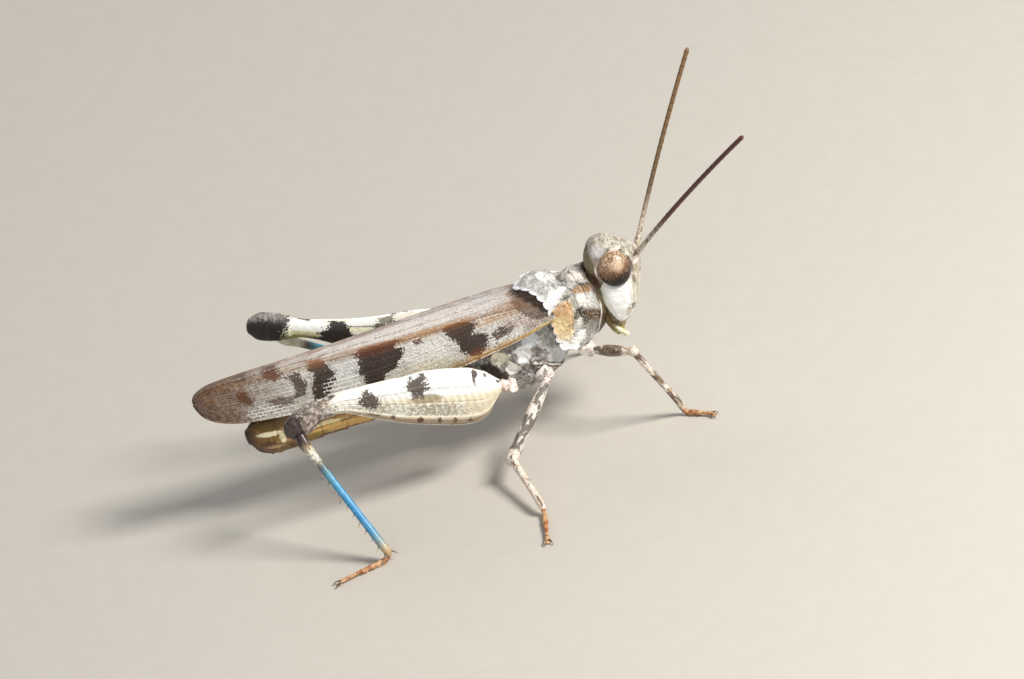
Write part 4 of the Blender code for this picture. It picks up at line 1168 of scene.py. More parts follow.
def trunkFinish():
    f = Finish("trunkCuticle", 0.45)
    where, edge = f.mirrored(), f.ragged(0.35, 0.1, 1, 0.9)
    x, _, height = f.parts(where)
    chest = f.mottled((122, 117, 111), (200, 198, 195), 0.32, 4, 0.36, 0.64)
    chest = f.speckle(chest, ((78, 68, 60), 0.7, 0.12, 0.32, 2), ((226, 224, 221), 0.7, 0.16, 0.3, 6))
    belly = f.mottled((150, 108, 60), (192, 150, 94), 0.8, 3, 0.35, 0.65)
    belly = f.mix(f.ramp(height + edge * 0.3, 4.6, 4), belly, (98, 66, 42))
    belly = f.speckle(belly, ((92, 62, 36), 0.6, 0.22, 0.26, 3),
                             ((226, 196, 130), 0.5, 0.3, 0.2, 14, (0.5, 1, 1)))
    colour = f.mix(f.ramp(x + edge, -1.8, -1.2), belly, chest)
    white = (244, 242, 238)
    marks = (
        ((3.2, 1.2, 6.4), (0.75, 0.9, 0.8), (186, 181, 174), 0.45),
        ((3.4, 1.2, 5), (0.55, 0.9, 0.66), (214, 217, 218), 0.85),
        ((1.2, 1.4, 5.9), (1.5, 0.9, 1.25), (92, 84, 78), 0.5),
        ((2.15, 1.4, 6.6), (0.5, 0.9, 0.46), (236, 240, 242), 0.95),
        ((1.56, 1.4, 5.85), (0.54, 0.9, 0.58), white, 1),
        ((0.84, 1.4, 5.17), (0.38, 0.9, 0.38), (255, 250, 244), 1),
        # cream knob raised to near white: partly its own colour and partly painted light
        ((0.34, 1.4, 5.98), (0.52, 0.9, 0.46), (255, 248, 226), 1),
        ((0.5, 1.4, 6.3), (0.16, 0.9, 0.16), (150, 112, 78), 0.8),
        ((1.72, 1.3, 6.82), (0.17, 0.9, 0.2), (66, 46, 54), 0.95),
        ((1.1, 1.3, 5.75), (0.16, 0.9, 0.34), (84, 74, 70), 0.8),
        # dark round the hind hip and in the gap under the wing cover: painted shadow
        ((-0.45, 1.3, 5.2), (0.62, 0.9, 0.8), (48, 34, 27), 0.95),
        ((0.2, 1.3, 4.9), (0.3, 0.9, 0.3), (50, 36, 30), 0.9),
        ((2.15, 1.3, 5.3), (0.3, 0.9, 0.15), (238, 226, 222), 0.85),
        ((2.65, 1.2, 4.98), (0.32, 0.9, 0.13), (240, 228, 222), 0.85),
        ((2.3, 1.1, 4.5), (0.45, 0.9, 0.3), (58, 46, 40), 0.85),
        ((3.1, 1.1, 3.9), (0.5, 0.9, 0.2), (74, 62, 54), 0.7),
        # thin dark mark between the knobs of the chest: painted shade
        ((1.9, 1.2, 5), (0.16, 0.9, 0.5), (82, 70, 62), 0.7),
        # dark on the chest's top under the collar plate's hind edge: painted shadow
        ((2.9, 0.5, 8.7), (2, 1.4, 0.7), (62, 46, 36), 0.95),
        # the neck between head and collar, olive brown: painted shade
        ((6.3, 0.8, 7.4), (0.6, 1.2, 2.2), (126, 107, 70), 0.9),
        ((6.3, 0.8, 5.9), (0.5, 1.2, 0.7), (86, 66, 40), 0.9),
        ((-13.4, 0.5, 5), (1.1, 0.9, 1.4), (122, 90, 34), 0.8),
        ((-13.5, 0.3, 5.95), (1.5, 0.9, 0.4), (84, 62, 22), 0.95),
        ((-13.7, 0.5, 3.8), (0.5, 0.9, 0.5), (84, 58, 34), 0.9),
        ((-13, 0.7, 5.1), (0.75, 0.5, 0.15), (250, 240, 202), 1),
        ((-12.7, 0.7, 5.52), (1.1, 0.5, 0.24), (112, 84, 20), 0.9),
        ((-12.6, 0.7, 3.9), (0.4, 0.9, 0.5), (128, 102, 52), 0.8),
        ((-13.3, 0.7, 4.1), (0.35, 0.9, 0.4), (122, 88, 64), 0.85),
        ((-10.2, 0.9, 4.95), (1.5, 0.5, 0.16), (244, 228, 172), 0.9),
        ((-8.6, 0.8, 4.5), (2.6, 0.6, 0.3), (222, 180, 104), 0.85),
        ((-10.8, 0.8, 4.3), (0.9, 0.6, 0.3), (150, 122, 50), 0.7),
        ((-12.4, 0.7, 4.72), (0.2, 0.5, 0.36), (240, 226, 188), 0.9),
        ((-13.3, 0.6, 4.5), (0.5, 0.6, 0.16), (84, 56, 36), 0.85),
        ((-12.9, 0.6, 4.2), (0.5, 0.6, 0.12), (206, 176, 128), 0.7),
    )
    colour = f.patches(colour, where, marks, edge * 0.8, 0.17)
    tail = f.ramp(x + edge * 0.5, -13.55, -14.15)
    colour = f.mix(tail * 0.85, colour, (54, 35, 24))
    for offset, shade in ((0, (236, 224, 210)), (-0.13, (54, 42, 36)), (0.14, (62, 52, 46))):
        rows = [(a, b + offset, c + offset) for a, b, c in trunk["fold"]]
        colour = f.mix(f.band(height, x, rows, 1, edge * 0.14, 0.04) * 0.9, colour, shade)
    specks = f.flecks(0.1, 0.22, 31) * f.ramp(x, -1.8, -1.2)
    colour = f.mix(specks * 0.55, colour, (92, 82, 76))
    # darker hind border on every ring of the abdomen
    border = None
    for ring in trunk["rings"][1:]:
        line = f.ramp(abs(x - (ring + 0.12)), 0.14, 0.02)
        border = line if border is None else f.most(border, line)
    colour = f.mix(border * 0.3, colour, (84, 58, 36))
    bumps = f.grain(0.1, 3) + f.grain(0.035, 2) * 0.3
    return f.done(colour, f.ramp(f.grain(0.4), 0.3, 0.7, 0.34, 0.55), bumps, 0.03)


addPiece("trunkSkin", trunkForms, trunkFinish(),
         ("prothorax", "thorax", "abdomen_front", "abdomen_middle", "abdomen_rear", "abdomen_tip",
          "cercus_right", "cercus_left"))
print("collar plate and trunk are built")


# wing covers

wing = {
    "root": 3.5, "tip": -16.5, "rows": 300, "roof": 46, "flank": 74, "curve": 1.6, "bulge": 0.1,
    "thickness": 0.12,
    "top": ((3.5, 9), (1.5, 8.98), (-3, 8.82), (-8, 8.72), (-13, 8.72), (-15, 8.72), (-15.8, 8.64),
            (-16.2, 8.5), (-16.42, 8.3), (-16.5, 8.1)),
    "foldY": ((3.5, 1.3), (1, 1.2), (-2.5, 1.15), (-6, 0.95), (-10, 0.65), (-14, 0.5), (-15.4, 0.42),
              (-16.1, 0.26), (-16.4, 0.14), (-16.5, 0.07)),
    "foldZ": ((3.5, 8.35), (2, 8.68), (0.5, 8.76), (-2.5, 8.7), (-6, 8.62), (-10, 8.6), (-14, 8.58),
              (-15.6, 8.5), (-16.15, 8.36), (-16.42, 8.16), (-16.5, 7.98)),
    "edgeY": ((3.5, 1.85), (1, 2), (-3, 2), (-7, 1.75), (-11, 1.3), (-14, 0.95), (-15.3, 0.74), (-16, 0.5),
              (-16.35, 0.3), (-16.5, 0.12)),
    "edgeZ": ((3.5, 7.66), (2.7, 7.46), (1.8, 7.2), (0.6, 6.98), (-0.6, 6.78), (-3, 6.4), (-7, 6.15),
              (-11, 6.2), (-13.24, 6.28), (-14.4, 6.4), (-15.43, 6.7), (-15.87, 6.92), (-16.17, 7.18),
              (-16.38, 7.54), (-16.5, 7.84)),
    "lap": {"right": (0.05, -0.03), "left": (-0.3, 0.07)},
    # long veins: places across the cover (0 midline, 1 fore edge) at base, half way and tip,
    # then where they start and end, then their strength
    "veins": ((0.09, 0.1, 0.12, 0, 0.8, 0.5), (0.19, 0.2, 0.22, 0, 0.86, 0.5),
              (0.28, 0.29, 0.3, 0.1, 0.9, 0.4), (0.4, 0.47, 0.5, 0, 0.97, 0.7),
              (0.44, 0.56, 0.58, 0.02, 0.97, 0.35), (0.47, 0.655, 0.66, 0, 0.97, 1),
              (0.49, 0.7, 0.74, 0.02, 0.96, 0.35), (0.53, 0.76, 0.82, 0, 0.9, 0.5),
              (0.6, 0.83, 0.9, 0, 0.85, 0.4), (0.7, 0.9, 0.97, 0.02, 0.72, 0.5),
              (0.5, 0.51, 0.545, 0.5, 0.97, 0.5), (0.6, 0.61, 0.62, 0.52, 0.97, 0.5),
              (0.7, 0.7, 0.7, 0.56, 0.96, 0.5), (0.78, 0.79, 0.78, 0.58, 0.95, 0.5)),
}
foldAt = wing["roof"] / (wing["roof"] + wing["flank"])


def wingLine(x, side, lapAt, top, foldY, foldZ, edgeY, edgeZ):
    x, top, foldY, foldZ, edgeY, edgeZ = (np.asarray(a)[:, None]
                                          for a in (x, top, foldY, foldZ, edgeY, edgeZ))
    t = (np.arange(wing["roof"]) / wing["roof"])[None, :]
    roof = [x + 0 * t, side * (lapAt + (foldY - lapAt) * t), top + (foldZ - top) * t ** wing["curve"]]
    t = np.linspace(0, 1, wing["flank"] + 1)[None, :]
    bulge = wing["bulge"] * np.sin(math.pi * t)
    flank = [x + 0 * t, side * (foldY + (edgeY - foldY) * t + bulge), foldZ + (edgeZ - foldZ) * t]
    return np.stack([np.concatenate([a, b], 1) for a, b in zip(roof, flank)], -1)


def wingBase(y):
    return np.minimum(hindMargin(np.abs(y)), plate["corner"] - 0.1) + 0.2 + 0.6 * step(np.abs(y), 1.3, 0.9)


def wingForm(name, side):
    share = np.linspace(0, 1, wing["rows"])
    share = share * (1 + 0.25 * (1 - share))
    x = wing["root"] + (wing["tip"] - wing["root"]) * share
    read = {key: smooth(wing[key], x) for key in ("top", "foldY", "foldZ", "edgeY", "edgeZ")}
    lapAt, lift = wing["lap"][name]
    lapAt = lapAt * np.clip(share * 8, 0, 1)[:, None] * np.clip((1.4 - share) * 2.5, 0, 1)[:, None] + 0.02
    grid = wingLine(x, side, lapAt, read["top"], read["foldY"], read["foldZ"], read["edgeY"], read["edgeZ"])
    base = wingBase(grid[..., 1])
    across = np.linspace(0, 1, grid.shape[1])[None, :]
    grid[..., 0] = base + (wing["tip"] - base) * share[:, None]
    # soften the fold's corner
    for _ in range(3):
        grid[:, 1:-1] = (grid[:, :-2] + 2 * grid[:, 1:-1] + grid[:, 2:]) / 4
    grid[..., 2] += (lift * step(across, 0.3, 0.1)
                     * np.sin(math.pi * np.clip(share[:, None] * 1.02, 0, 1)) ** 0.5)
    normal = openNormals(grid)
    if normal[50, 10, 2] < 0:
        normal = -normal
    return grid, normal, share[:, None] + 0 * across, across + 0 * share[:, None]


def wingRelief(grid, along, across):
    rise, ribs = 0.012 * softNoise(grid * (0.35, 1, 1), 0.3, 31), np.zeros(along.shape)
    for base, middle, tip, start, end, strength in wing["veins"]:
        at = smooth(((0, base), (0.5, middle), (1, tip)), along) + 0.006 * np.sin(along * 9 + base * 20)
        line = (bell(across, at, 0.0065) * step(along, start - 0.01, start + 0.02)
                * step(along, end, end - 0.05))
        ribs = np.maximum(ribs, line * strength)
    rise = rise + 0.035 * ribs + 0.05 * bell(across, 1, 0.012) + 0.03 * bell(across, foldAt, 0.012)
    rise = (rise + (0.05 + 0.06 * step(along, 0.14, 0.04)) * bell(across, 0.955, 0.018)
            * step(along, 0.4, 0.2))
    return rise, ribs


wing["wide"] = 3.3    # mm across the cover, midline to fore edge
wing["pale"] = (
    # place along x and share across, radii, tone, strength, and a turn where there is one
    ((-3.4, 0.62), (1.5, 0.2), (240, 237, 226), 0.8), ((-7.85, 0.62), (0.75, 0.24), (228, 226, 221), 0.8),
    ((-3.6, 0.84), (1.9, 0.1), (238, 226, 198), 0.8), ((-4.2, 0.1), (3.8, 0.12), (234, 226, 218), 0.6),
    ((0.6, 0.2), (1.6, 0.14), (214, 208, 206), 0.7), ((-12.9, 0.88), (1.1, 0.15), (198, 196, 186), 0.85),
    ((-11, 0.2), (1, 0.14), (196, 184, 168), 0.7), ((0.9, 0.74), (1.2, 0.12), (212, 206, 202), 0.7),
    ((-2.9, 0.34), (2.6, 0.075), (196, 150, 98), 0.85), ((-7.4, 0.27), (1.6, 0.07), (176, 142, 116), 0.6),
    ((0.9, 0.47), (1.4, 0.06), (196, 150, 106), 0.85), ((1.8, 0.3), (0.9, 0.14), (164, 140, 122), 0.7),
    ((-0.4, 0.95), (3.4, 0.06), (196, 160, 96), 0.95), ((1.9, 0.62), (1, 0.1), (166, 130, 100), 0.45),
    ((3, 0.76), (0.8, 0.14), (140, 104, 70), 0.5), ((-15.9, 0.5), (1.5, 0.9), (126, 100, 80), 0.85),
    ((-15.6, 0.2), (1.4, 0.24), (112, 88, 70), 0.8),
)
dusk, earth, rust, tan = (62, 48, 39), (78, 60, 49), (104, 58, 35), (140, 98, 66)
wing["bands"] = (
    # rows across the cover (place, rear end, front end), then the tones across it, then strength
    (((0.33, -1.95, -1.5), (0.36, -2.1, -1), (0.4, -2.15, -0.5), (0.46, -2.05, -0.3), (0.52, -1.9, -0.45),
      (0.57, -1.75, -0.55), (0.605, -1.65, -0.5), (0.63, -1.6, 0), (0.7, -1.55, 0.18), (0.78, -1.45, 0.08),
      (0.83, -1.35, -0.12), (0.88, -1.1, -0.2), (0.95, -0.9, -0.3)),
     ((0.33, (156, 100, 58)), (0.39, (112, 66, 40)), (0.45, earth), (0.6, dusk), (0.8, dusk), (0.88, rust),
      (0.95, tan)), 1),
    (((0.26, -6.6, -5.2), (0.28, -6.75, -4.9), (0.31, -6.9, -4.7), (0.36, -7, -4.55), (0.42, -7.15, -4.8),
      (0.5, -7.1, -4.55), (0.56, -7.1, -4.55), (0.62, -7.2, -4.9), (0.7, -7.1, -5.15), (0.745, -7.1, -5.75),
      (0.82, -7, -6), (0.9, -6.9, -6.3)),
     ((0.26, (150, 110, 76)), (0.33, (120, 78, 46)), (0.37, rust), (0.44, (84, 48, 33)), (0.5, dusk),
      (0.9, dusk)), 1),
    (((0.18, -9.9, -9), (0.25, -9.9, -9), (0.35, -9.75, -8.9), (0.45, -9.8, -8.85), (0.55, -9.75, -8.6),
      (0.62, -9.8, -8.5), (0.68, -9.9, -8.7), (0.75, -9.95, -8.9), (0.82, -10, -9), (0.9, -9.7, -9.3)),
     ((0.18, (160, 112, 92)), (0.28, (150, 106, 82)), (0.38, tan), (0.47, earth), (0.55, dusk),
      (0.9, dusk)), 1),
    (((0.43, -10.85, -10.6), (0.5, -11, -10.4), (0.58, -10.95, -10.2), (0.65, -10.9, -10.1),
      (0.72, -11, -10.2), (0.77, -10.9, -10.4)), ((0.43, earth), (0.77, (84, 70, 62))), 0.95),
    (((0.7, -12.1, -11.6), (0.75, -12.4, -11.2), (0.81, -12.3, -11.05), (0.87, -12, -11.3)),
     ((0.7, (98, 84, 74)), (0.87, (104, 88, 78))), 0.9),
    (((0, -12.2, -11.6), (0.1, -12.35, -11.5), (0.3, -12.35, -11.4), (0.4, -12.25, -11.4),
      (0.48, -12, -11.6)),
     ((0, (108, 78, 60)), (0.3, (98, 60, 42)), (0.48, (108, 66, 46))), 0.95),
    (((0.48, -13.9, -13.6), (0.56, -14.1, -13.45), (0.62, -14.05, -13.3), (0.68, -13.85, -13.25),
      (0.74, -13.6, -13.4)),
     ((0.48, (112, 72, 46)), (0.58, (92, 62, 40)), (0.74, (104, 74, 54))), 1),
    (((0.02, -13.8, -13.3), (0.2, -13.9, -13.2), (0.34, -13.7, -13.4)), ((0.02, earth), (0.34, rust)), 0.7),
    (((0.08, -15.6, -15.2), (0.2, -15.8, -15), (0.35, -15.7, -15), (0.42, -15.5, -15.2)),
     ((0.08, (112, 88, 70)), (0.42, (96, 62, 42))), 0.8),
    (((0.5, -15.9, -15.5), (0.62, -15.9, -15.2), (0.72, -15.7, -15.3)), ((0.5, tan), (0.72, earth)), 0.6),
    (((0.42, -3.95, -3.6), (0.455, -3.8, -3.36), (0.5, -3.7, -3.5)), ((0.42, rust), (0.5, earth)), 0.95),
    (((0.64, 0.5, 0.95), (0.72, 0.34, 1.12), (0.8, 0.5, 0.95)), ((0.64, earth), (0.8, earth)), 0.95),
    (((0.66, 1.1, 1.5), (0.73, 1, 1.6), (0.79, 1.1, 1.5)), ((0.66, earth), (0.79, earth)), 0.8),
    # brown to dark at the cover's base, under the collar plate's hind edge: painted shadow
    (((0, 1.7, 4.2), (0.2, 1.9, 4.2), (0.4, 2, 4.2), (0.6, 2.5, 4.2), (0.74, 3.1, 4.2)),
     ((0, (120, 92, 70)), (0.74, (66, 44, 32))), 0.8),
)
wing["nets"] = (
    # rows across the cover where a net of pale square cells shows
    ((0.78, -13.3, -12.4), (0.84, -13.7, -11.6), (0.9, -13.8, -10.9), (0.97, -13.6, -10.8)),
    ((0.62, -8.9, -8), (0.68, -9.2, -7.4), (0.8, -9.3, -7.2), (0.9, -9.4, -7)),
)


def wingFinish():
    f = Finish("wingCover", 0.5, Specular_IOR_Level=0.3)
    x, y, _ = f.parts(f.drawn)
    across = f.parts(f.flat)[1]
    where = f.join(x, across * wing["wide"])
    edge = f.ragged(0.4, 0.1, 0.75, 1.1, where)
    streak = f.grain(0.5, 5, 0.7, (0.6, 1.5, 1), vector=where)
    colour = f.mix(f.ramp(streak, 0.36, 0.64), (184, 177, 168), (224, 220, 209))
    colour = f.mix(f.ramp(across, 0.36, 0.22), colour,
                   f.mix(f.ramp(streak, 0.4, 0.6), (190, 178, 170), (222, 214, 206)))
    colour = f.mix(f.ramp(x, -9, -13.5) * 0.75, colour, (158, 144, 133))
    colour = f.patches(colour, where, wing["pale"], edge, 0.5, (1, wing["wide"], 1))
    roof = f.mix(f.ramp(streak, 0.4, 0.6), (168, 154, 146), (208, 198, 190))
    colour = f.mix(f.ramp(y, 0.35, 0.7) * f.ramp(x, 2.2, 1.2), colour, roof)
    rear = f.ramp(x + edge * 0.6, -13, -14.5)
    colour = f.mix(rear * 0.8, colour,
                   f.mix(f.ramp(f.grain(0.3, 4, vector=where), 0.4, 0.6), (106, 80, 60), (146, 120, 98)))
    # fine brown speckle, most of it along the fold and towards the tip
    own = f.ramp(y, 0.9, 0.4)
    near = f.ramp(across, 0.16, 0.3) * f.ramp(across, 0.46, 0.4) * own
    colour = f.mix(f.flecks(0.12, 0.42, 13, (0.6, 1, 1), where) * near * 0.75, colour,
                   (150, 106, 66))
    colour = f.speckle(colour, ((124, 104, 92), 0.6, 0.09, 0.28, 3, None, where))
    roots = f.flecks(0.13, 0.4, 23, None, where) * (f.ramp(x, 0.5, 2) * f.ramp(across, 0.8, 0.7))
    colour = f.mix(roots * 0.6, colour, (146, 104, 70))
    rear = f.flecks(0.12, 0.4, 9, None, where) * f.ramp(x, -11, -13.5)
    colour = f.mix(rear * 0.75, colour, (84, 58, 42))
    cover = 0
    crest = 1 - f.ramp(y, 0.1, 0.35) * f.ramp(across, 0.44, 0.36) * f.ramp(x, -14, -12.8, 0, 0.65)
    for rows, shades, much in wing["bands"]:
        share = f.band(x, across, rows, wing["wide"], edge) * much * crest
        first, reach = shades[0][0], shades[-1][0] - shades[0][0]
        shade = f.scale((across - first) / reach, [((a - first) / reach, b) for a, b in shades])
        colour = f.mix(share, colour, shade)
        cover = f.most(cover, share)
    # small uneven cells between the long veins, larger near the tip
    nets = []
    for size, fade in ((0.165, f.ramp(x, -11.2, -10)), (0.25, f.ramp(x, -10, -11.2))):
        far = f.cells(f.vector("MULTIPLY", where, (0.72, 1.3, 1)), size, "DISTANCE_TO_EDGE", 0.85)
        nets.append((f.ramp(far, 0.1, 0.03) * fade, f.ramp(far, 0.13, 0.26) * fade))
    lattice, pits = ((a + b) * f.ramp(across, 0.3, 0.46, 0.25, 1) for a, b in zip(*nets))
    strong = f.most(f.ramp(x, -3, -1, 0.4, 0.75), f.ramp(across, 0.74, 0.84) * f.ramp(x, -13.4, -12.6))
    strong = strong * f.ramp(x, -13.6, -12.4, 0.25, 1)
    shown = f.ramp(f.grain(1.1, 3, 0.6, None, 5, where), 0.4, 0.62, 0.15, 1) * strong
    clear = 1 - cover * 0.93
    lit = f.mix(f.ramp(x, -9, -14), (238, 235, 228), (214, 206, 194))
    net = lattice * shown
    holes = pits * f.ramp(f.grain(0.6, 3, 0.7, None, 8, where), 0.38, 0.58) * clear
    colour = f.mix(holes * f.ramp(x, -3.5, -0.5, 0.45, 0.8), colour,
                   f.mix(f.ramp(x, -3.5, -0.5), (140, 127, 112), (104, 90, 82)))
    colour = f.mix(net * clear, colour, lit)
    # a coarser net of pale square cells low on the rear half
    fed = {"Vector": where, "Scale": 1, "Mortar Size": 0.03, "Mortar Smooth": 0.5, "Brick Width": 0.36,
           "Row Height": 0.17}
    bricks = f.lay("ShaderNodeTexBrick", fed, "Fac", offset=0.5)
    squares = bricks * f.most(*(f.band(x, across, rows, wing["wide"], edge, 0.12) for rows in wing["nets"]))
    colour = f.mix(squares * 0.85, colour, (246, 243, 236))
    ribs = f.attribute("rib") * f.ramp(x, -13.5, -11, 0.35, 0.8)
    colour = f.mix(ribs * clear, colour, lit)
    # the thick ochre vein along the fore edge, from the base to a third of the way
    wide = f.ramp(x, 0.5, 3.2, 0.02, 0.045)
    vein = f.ramp(abs(across - 0.955), wide, wide * 0.5) * f.ramp(x, -4.5, -0.5)
    ochre = f.mix(f.ramp(x, 0.8, 3.4), (172, 130, 86), (226, 196, 118))
    ochre = f.speckle(ochre, ((112, 76, 46), 0.6, 0.16, 0.3, 17, (0.5, 1, 1), where))
    colour = f.mix(vein * 0.9, colour, ochre)
    fold = f.ramp(abs(across - foldAt), 0.022, 0.006) * f.ramp(x, -12, -9.5, 0.15, 0.6)
    colour = f.mix(fold * f.flecks(0.3, 0.6, 1, None, where), colour, (128, 90, 60))
    height = f.most(f.most(lattice, squares), ribs) * 0.9 + f.grain(0.06, 3) * 0.5
    return f.done(colour, f.ramp(streak, 0.3, 0.7, 0.38, 0.56), height, 0.022)


wingCoat = wingFinish()
for name, side in bothSides:
    grid, normal, along, across = wingForm(name, side)
    rise, ribs = wingRelief(grid, along, across)
    outer = grid + normal * rise[..., None]
    inner = grid - normal * wing["thickness"]
    addPiece("wingCover_" + name, [shellForm(outer, inner, along, across)], wingCoat,
             ("tegmen_" + name,),
             {"rib": np.concatenate([ribs.ravel(), np.zeros(ribs.size)])})


def hindWingForm(side):
    # the folded fan under the cover: a pleated strap
    stops = (((-1.7, 0.34 * side, 7.7), 0.25, 0.1), ((-4, 0.36 * side, 7.45), 0.27, 0.2),
             ((-8, 0.36 * side, 7.03), 0.27, 0.2), ((-11.9, 0.36 * side, 6.6), 0.2, 0.12))

    def pleats(angle, *_):
        fold = 1 + 0.12 * np.cos(angle * 12)
        return np.cos(angle) * fold, np.sin(angle) * fold
    return tubeForm(stops, 90, 96, section=pleats)


fanCoat = plainFinish("foldedFan", 0.4, ((170, 176, 150), (206, 208, 184), 0.4, 5, 0.38, 0.62), 0.1)
for name, side in bothSides:
    addPiece("hindWing_" + name, [hindWingForm(side)], fanCoat, ("hindwing_" + name,))
print("wings are built")


# legs: hip, knee, where a hind shank hangs from its knee, ankle and claw tip

legs = {
    "front_right": {"hip": (5.05, -1.15, 4.75), "knee": (7.45, -3, 5.05), "ankle": (9, -2.7, 0.66),
                    "toe": (10.75, -3.8)},
    "front_left": {"hip": (5.05, 1.15, 4.75), "knee": (5.4, 4.05, 4.9), "ankle": (4.2, 6, 0.66),
                   "toe": (4.75, 8)},
    "middle_right": {"hip": (2.6, -1.4, 4.1), "knee": (-0.57, -4.5, 1.55), "ankle": (0.5, -8.4, 0.66),
                     "toe": (0.42, -11.5)},
    "middle_left": {"hip": (2.6, 1.4, 4.1), "knee": (-0.4, 4.6, 1.75), "ankle": (0.7, 8.4, 0.66),
                    "toe": (0.5, 11.5)},
    "hind_right": {"hip": (0.6, -1.45, 4.6), "knee": (-11.1, -4.2, 7.38), "hang": (-11, -4.66, 6.5),
                   "ankle": (-8.24, -8.5, 0.66), "toe": (-11.5, -9.5)},
    "hind_left": {"hip": (0.6, 1.45, 4.6), "knee": (-11.8, 4, 8.86), "hang": (-11.2, 4.1, 7.8),
                  "ankle": (-3.6, 6.4, 0.66), "toe": (-6.8, 7.5)},
}
legSize = {"hip": {"front": 0.54, "middle": 0.56, "hind": 0.62},
           "coxa": {"front": (-0.02, -0.1, 0.08), "middle": (-0.2, -0.15, 0.12)},
           "thigh": {"front": (0.22, 0.33, 0.22), "middle": (0.24, 0.36, 0.33)},
           "shank": {"front": 0.165, "middle": 0.19, "hind": 0.215}, "foot": 0.16}
hindThigh = {
    # share from hip to knee, lift, splay, half height, half thickness
    "sections": ((0.045, 0.1, 0.08, 0.45, 0.3), (0.07, 0.02, 0.14, 0.8, 0.38),
                 (0.12, -0.1, 0.25, 1.38, 0.55), (0.2, 0.02, 0.32, 1.7, 0.6), (0.36, 0.28, 0.26, 1.66, 0.6),
                 (0.52, 0.45, 0.15, 1.34, 0.52), (0.68, 0.72, 0.04, 0.88, 0.42), (0.79, 0.88, 0, 0.6, 0.34),
                 (0.87, 0.62, 0, 0.66, 0.36), (0.92, 0.34, 0, 0.84, 0.42), (0.97, 0.06, 0, 0.88, 0.44),
                 (1.01, -0.12, 0, 0.8, 0.4), (1.04, -0.22, 0, 0.5, 0.28)),
    "end": {"right": 1.04, "left": 1.065}, "bow": {"right": 1, "left": 0.1},
    "dip": {"right": 0, "left": 0.36},
    "rows": 360, "sides": 192, "barbs": 30, "long": 12.4, "girth": 8,
}


def unit(v):
    return v / np.linalg.norm(v)


def thighForm(name, side):
    leg = legs["hind_" + name]
    start = np.array(leg["hip"]) + (-0.25, 0.75 * side, 0.1)
    knee = np.array(leg["knee"])
    ahead = unit(knee - start)
    out = np.array((0, side, 0))
    out = unit(out - ahead * out.dot(ahead))
    up = np.cross(ahead, out) * -side
    end = hindThigh["end"][name]
    begin = hindThigh["sections"][0][0]
    share = np.linspace(begin, end, hindThigh["rows"])
    lift, splay, tall, thick = smooth(hindThigh["sections"], share * 1.04 / end).T
    dip = hindThigh["dip"][name] * bell(share, 0.55, 0.2)
    tall, lift = tall - dip / 2, lift - dip / 2 / hindThigh["bow"][name]
    share = np.r_[begin - 0.012 * np.sqrt(1 - closing**2), share,
                  end + 0.016 * np.sqrt(1 - closing[::-1]**2)]
    size = np.r_[closing, np.ones(hindThigh["rows"]), closing[::-1]]
    lift, splay, tall, thick = held(lift, splay, tall, thick)
    angle = np.linspace(0, fullTurn, hindThigh["sides"] + 1)[None, :]
    rise, outward = power(np.sin(angle), 1.1), power(np.cos(angle), 0.9)
    # surface: keels above and below, two ridges on the outer face, slanting barbs between them
    height, face = np.sin(angle), step(np.cos(angle), 0.15, 0.5)
    s = share[:, None]
    blade = step(s, 0.05, 0.12) * step(s, 0.88, 0.82)
    relief = 0.07 * (bell(height, 1, 0.02) + bell(height, -1, 0.03)) * blade
    ridge = 0.62 - 0.1 * step(s, 0.5, 0.85)
    relief = relief + 0.05 * face * blade * (bell(height, ridge, 0.06) + bell(height, -ridge, 0.06))
    barbs = np.abs(((s * hindThigh["barbs"] - np.abs(height) * 1.1) % 1) - 0.5) * 2
    relief = (relief + 0.026 * face * blade * (barbs - 0.5)
              * step(np.abs(height), ridge - 0.02, ridge - 0.14))
    relief = relief - 0.04 * face * blade * bell(height, 0, 0.04)
    # knee: a groove round the joint and a crescent on each side
    relief = (relief - 0.06 * bell(s, 0.9, 0.008)
              + 0.05 * bell(s, 0.94, 0.02) * step(np.abs(np.cos(angle)), 0.2, 0.6))
    relief = relief - 0.06 * bell(s - 0.02 * height, 0.99, 0.008) * step(np.abs(np.cos(angle)), 0.3, 0.7)
    centre = (start + (knee - start) * s + up * (lift * hindThigh["bow"][name])[:, None]
              + out * splay[:, None])
    grid = (centre[:, None] + up * ((tall * size)[:, None] * rise)[..., None]
            + out * ((thick * size)[:, None] * outward)[..., None])
    grid = (grid + normalsOf(grid)
            * ((relief + 0.012 * softNoise(grid, 0.2, 41)) * (size >= 1)[:, None])[..., None])
    return sheetForm(grid, s, angle / fullTurn)


def spikeTree():
    # thorns standing at the points of a mesh, each along its own aim
    tree, given = newTree("thorns", {"Length": 0.4, "Thickness": 0.05})
    thick = count(tree, "MULTIPLY", given["Thickness"], mm)
    cone = grow(tree, "GeometryNodeMeshCone", {
        "Vertices": 9, "Side Segments": 4, "Radius Bottom": thick,
        "Radius Top": count(tree, "MULTIPLY", thick, 0.12),
        "Depth": count(tree, "MULTIPLY", given["Length"], mm)})
    return endTree(tree, given, onPoints(tree, given, cone))


thorns = spikeTree()


def thornRows(a, b, axisUp, count, start, end, spread, radius):
    # two rows of thorns down the back of a shank
    points, aims, sizes = [], [], []
    along = unit(np.array(b) - a)
    across = unit(np.cross(along, axisUp))
    back = np.cross(across, along)
    back = back * np.sign(back.dot(axisUp))
    for s in (-1, 1):
        for i in range(count):
            t = start + (end - start) * (i + (0.25 if s > 0 else 0)) / max(count - 1, 1)
            way = unit(back * math.cos(spread) + across * s * math.sin(spread))
            aim = unit(way + along * 0.75)
            points.append(np.array(a) + (np.array(b) - a) * t + way * radius * 0.8)
            aims.append(aim)
            sizes.append(0.8 + 0.2 * math.sin(i * 2.1 + s))
    return points, aims, sizes


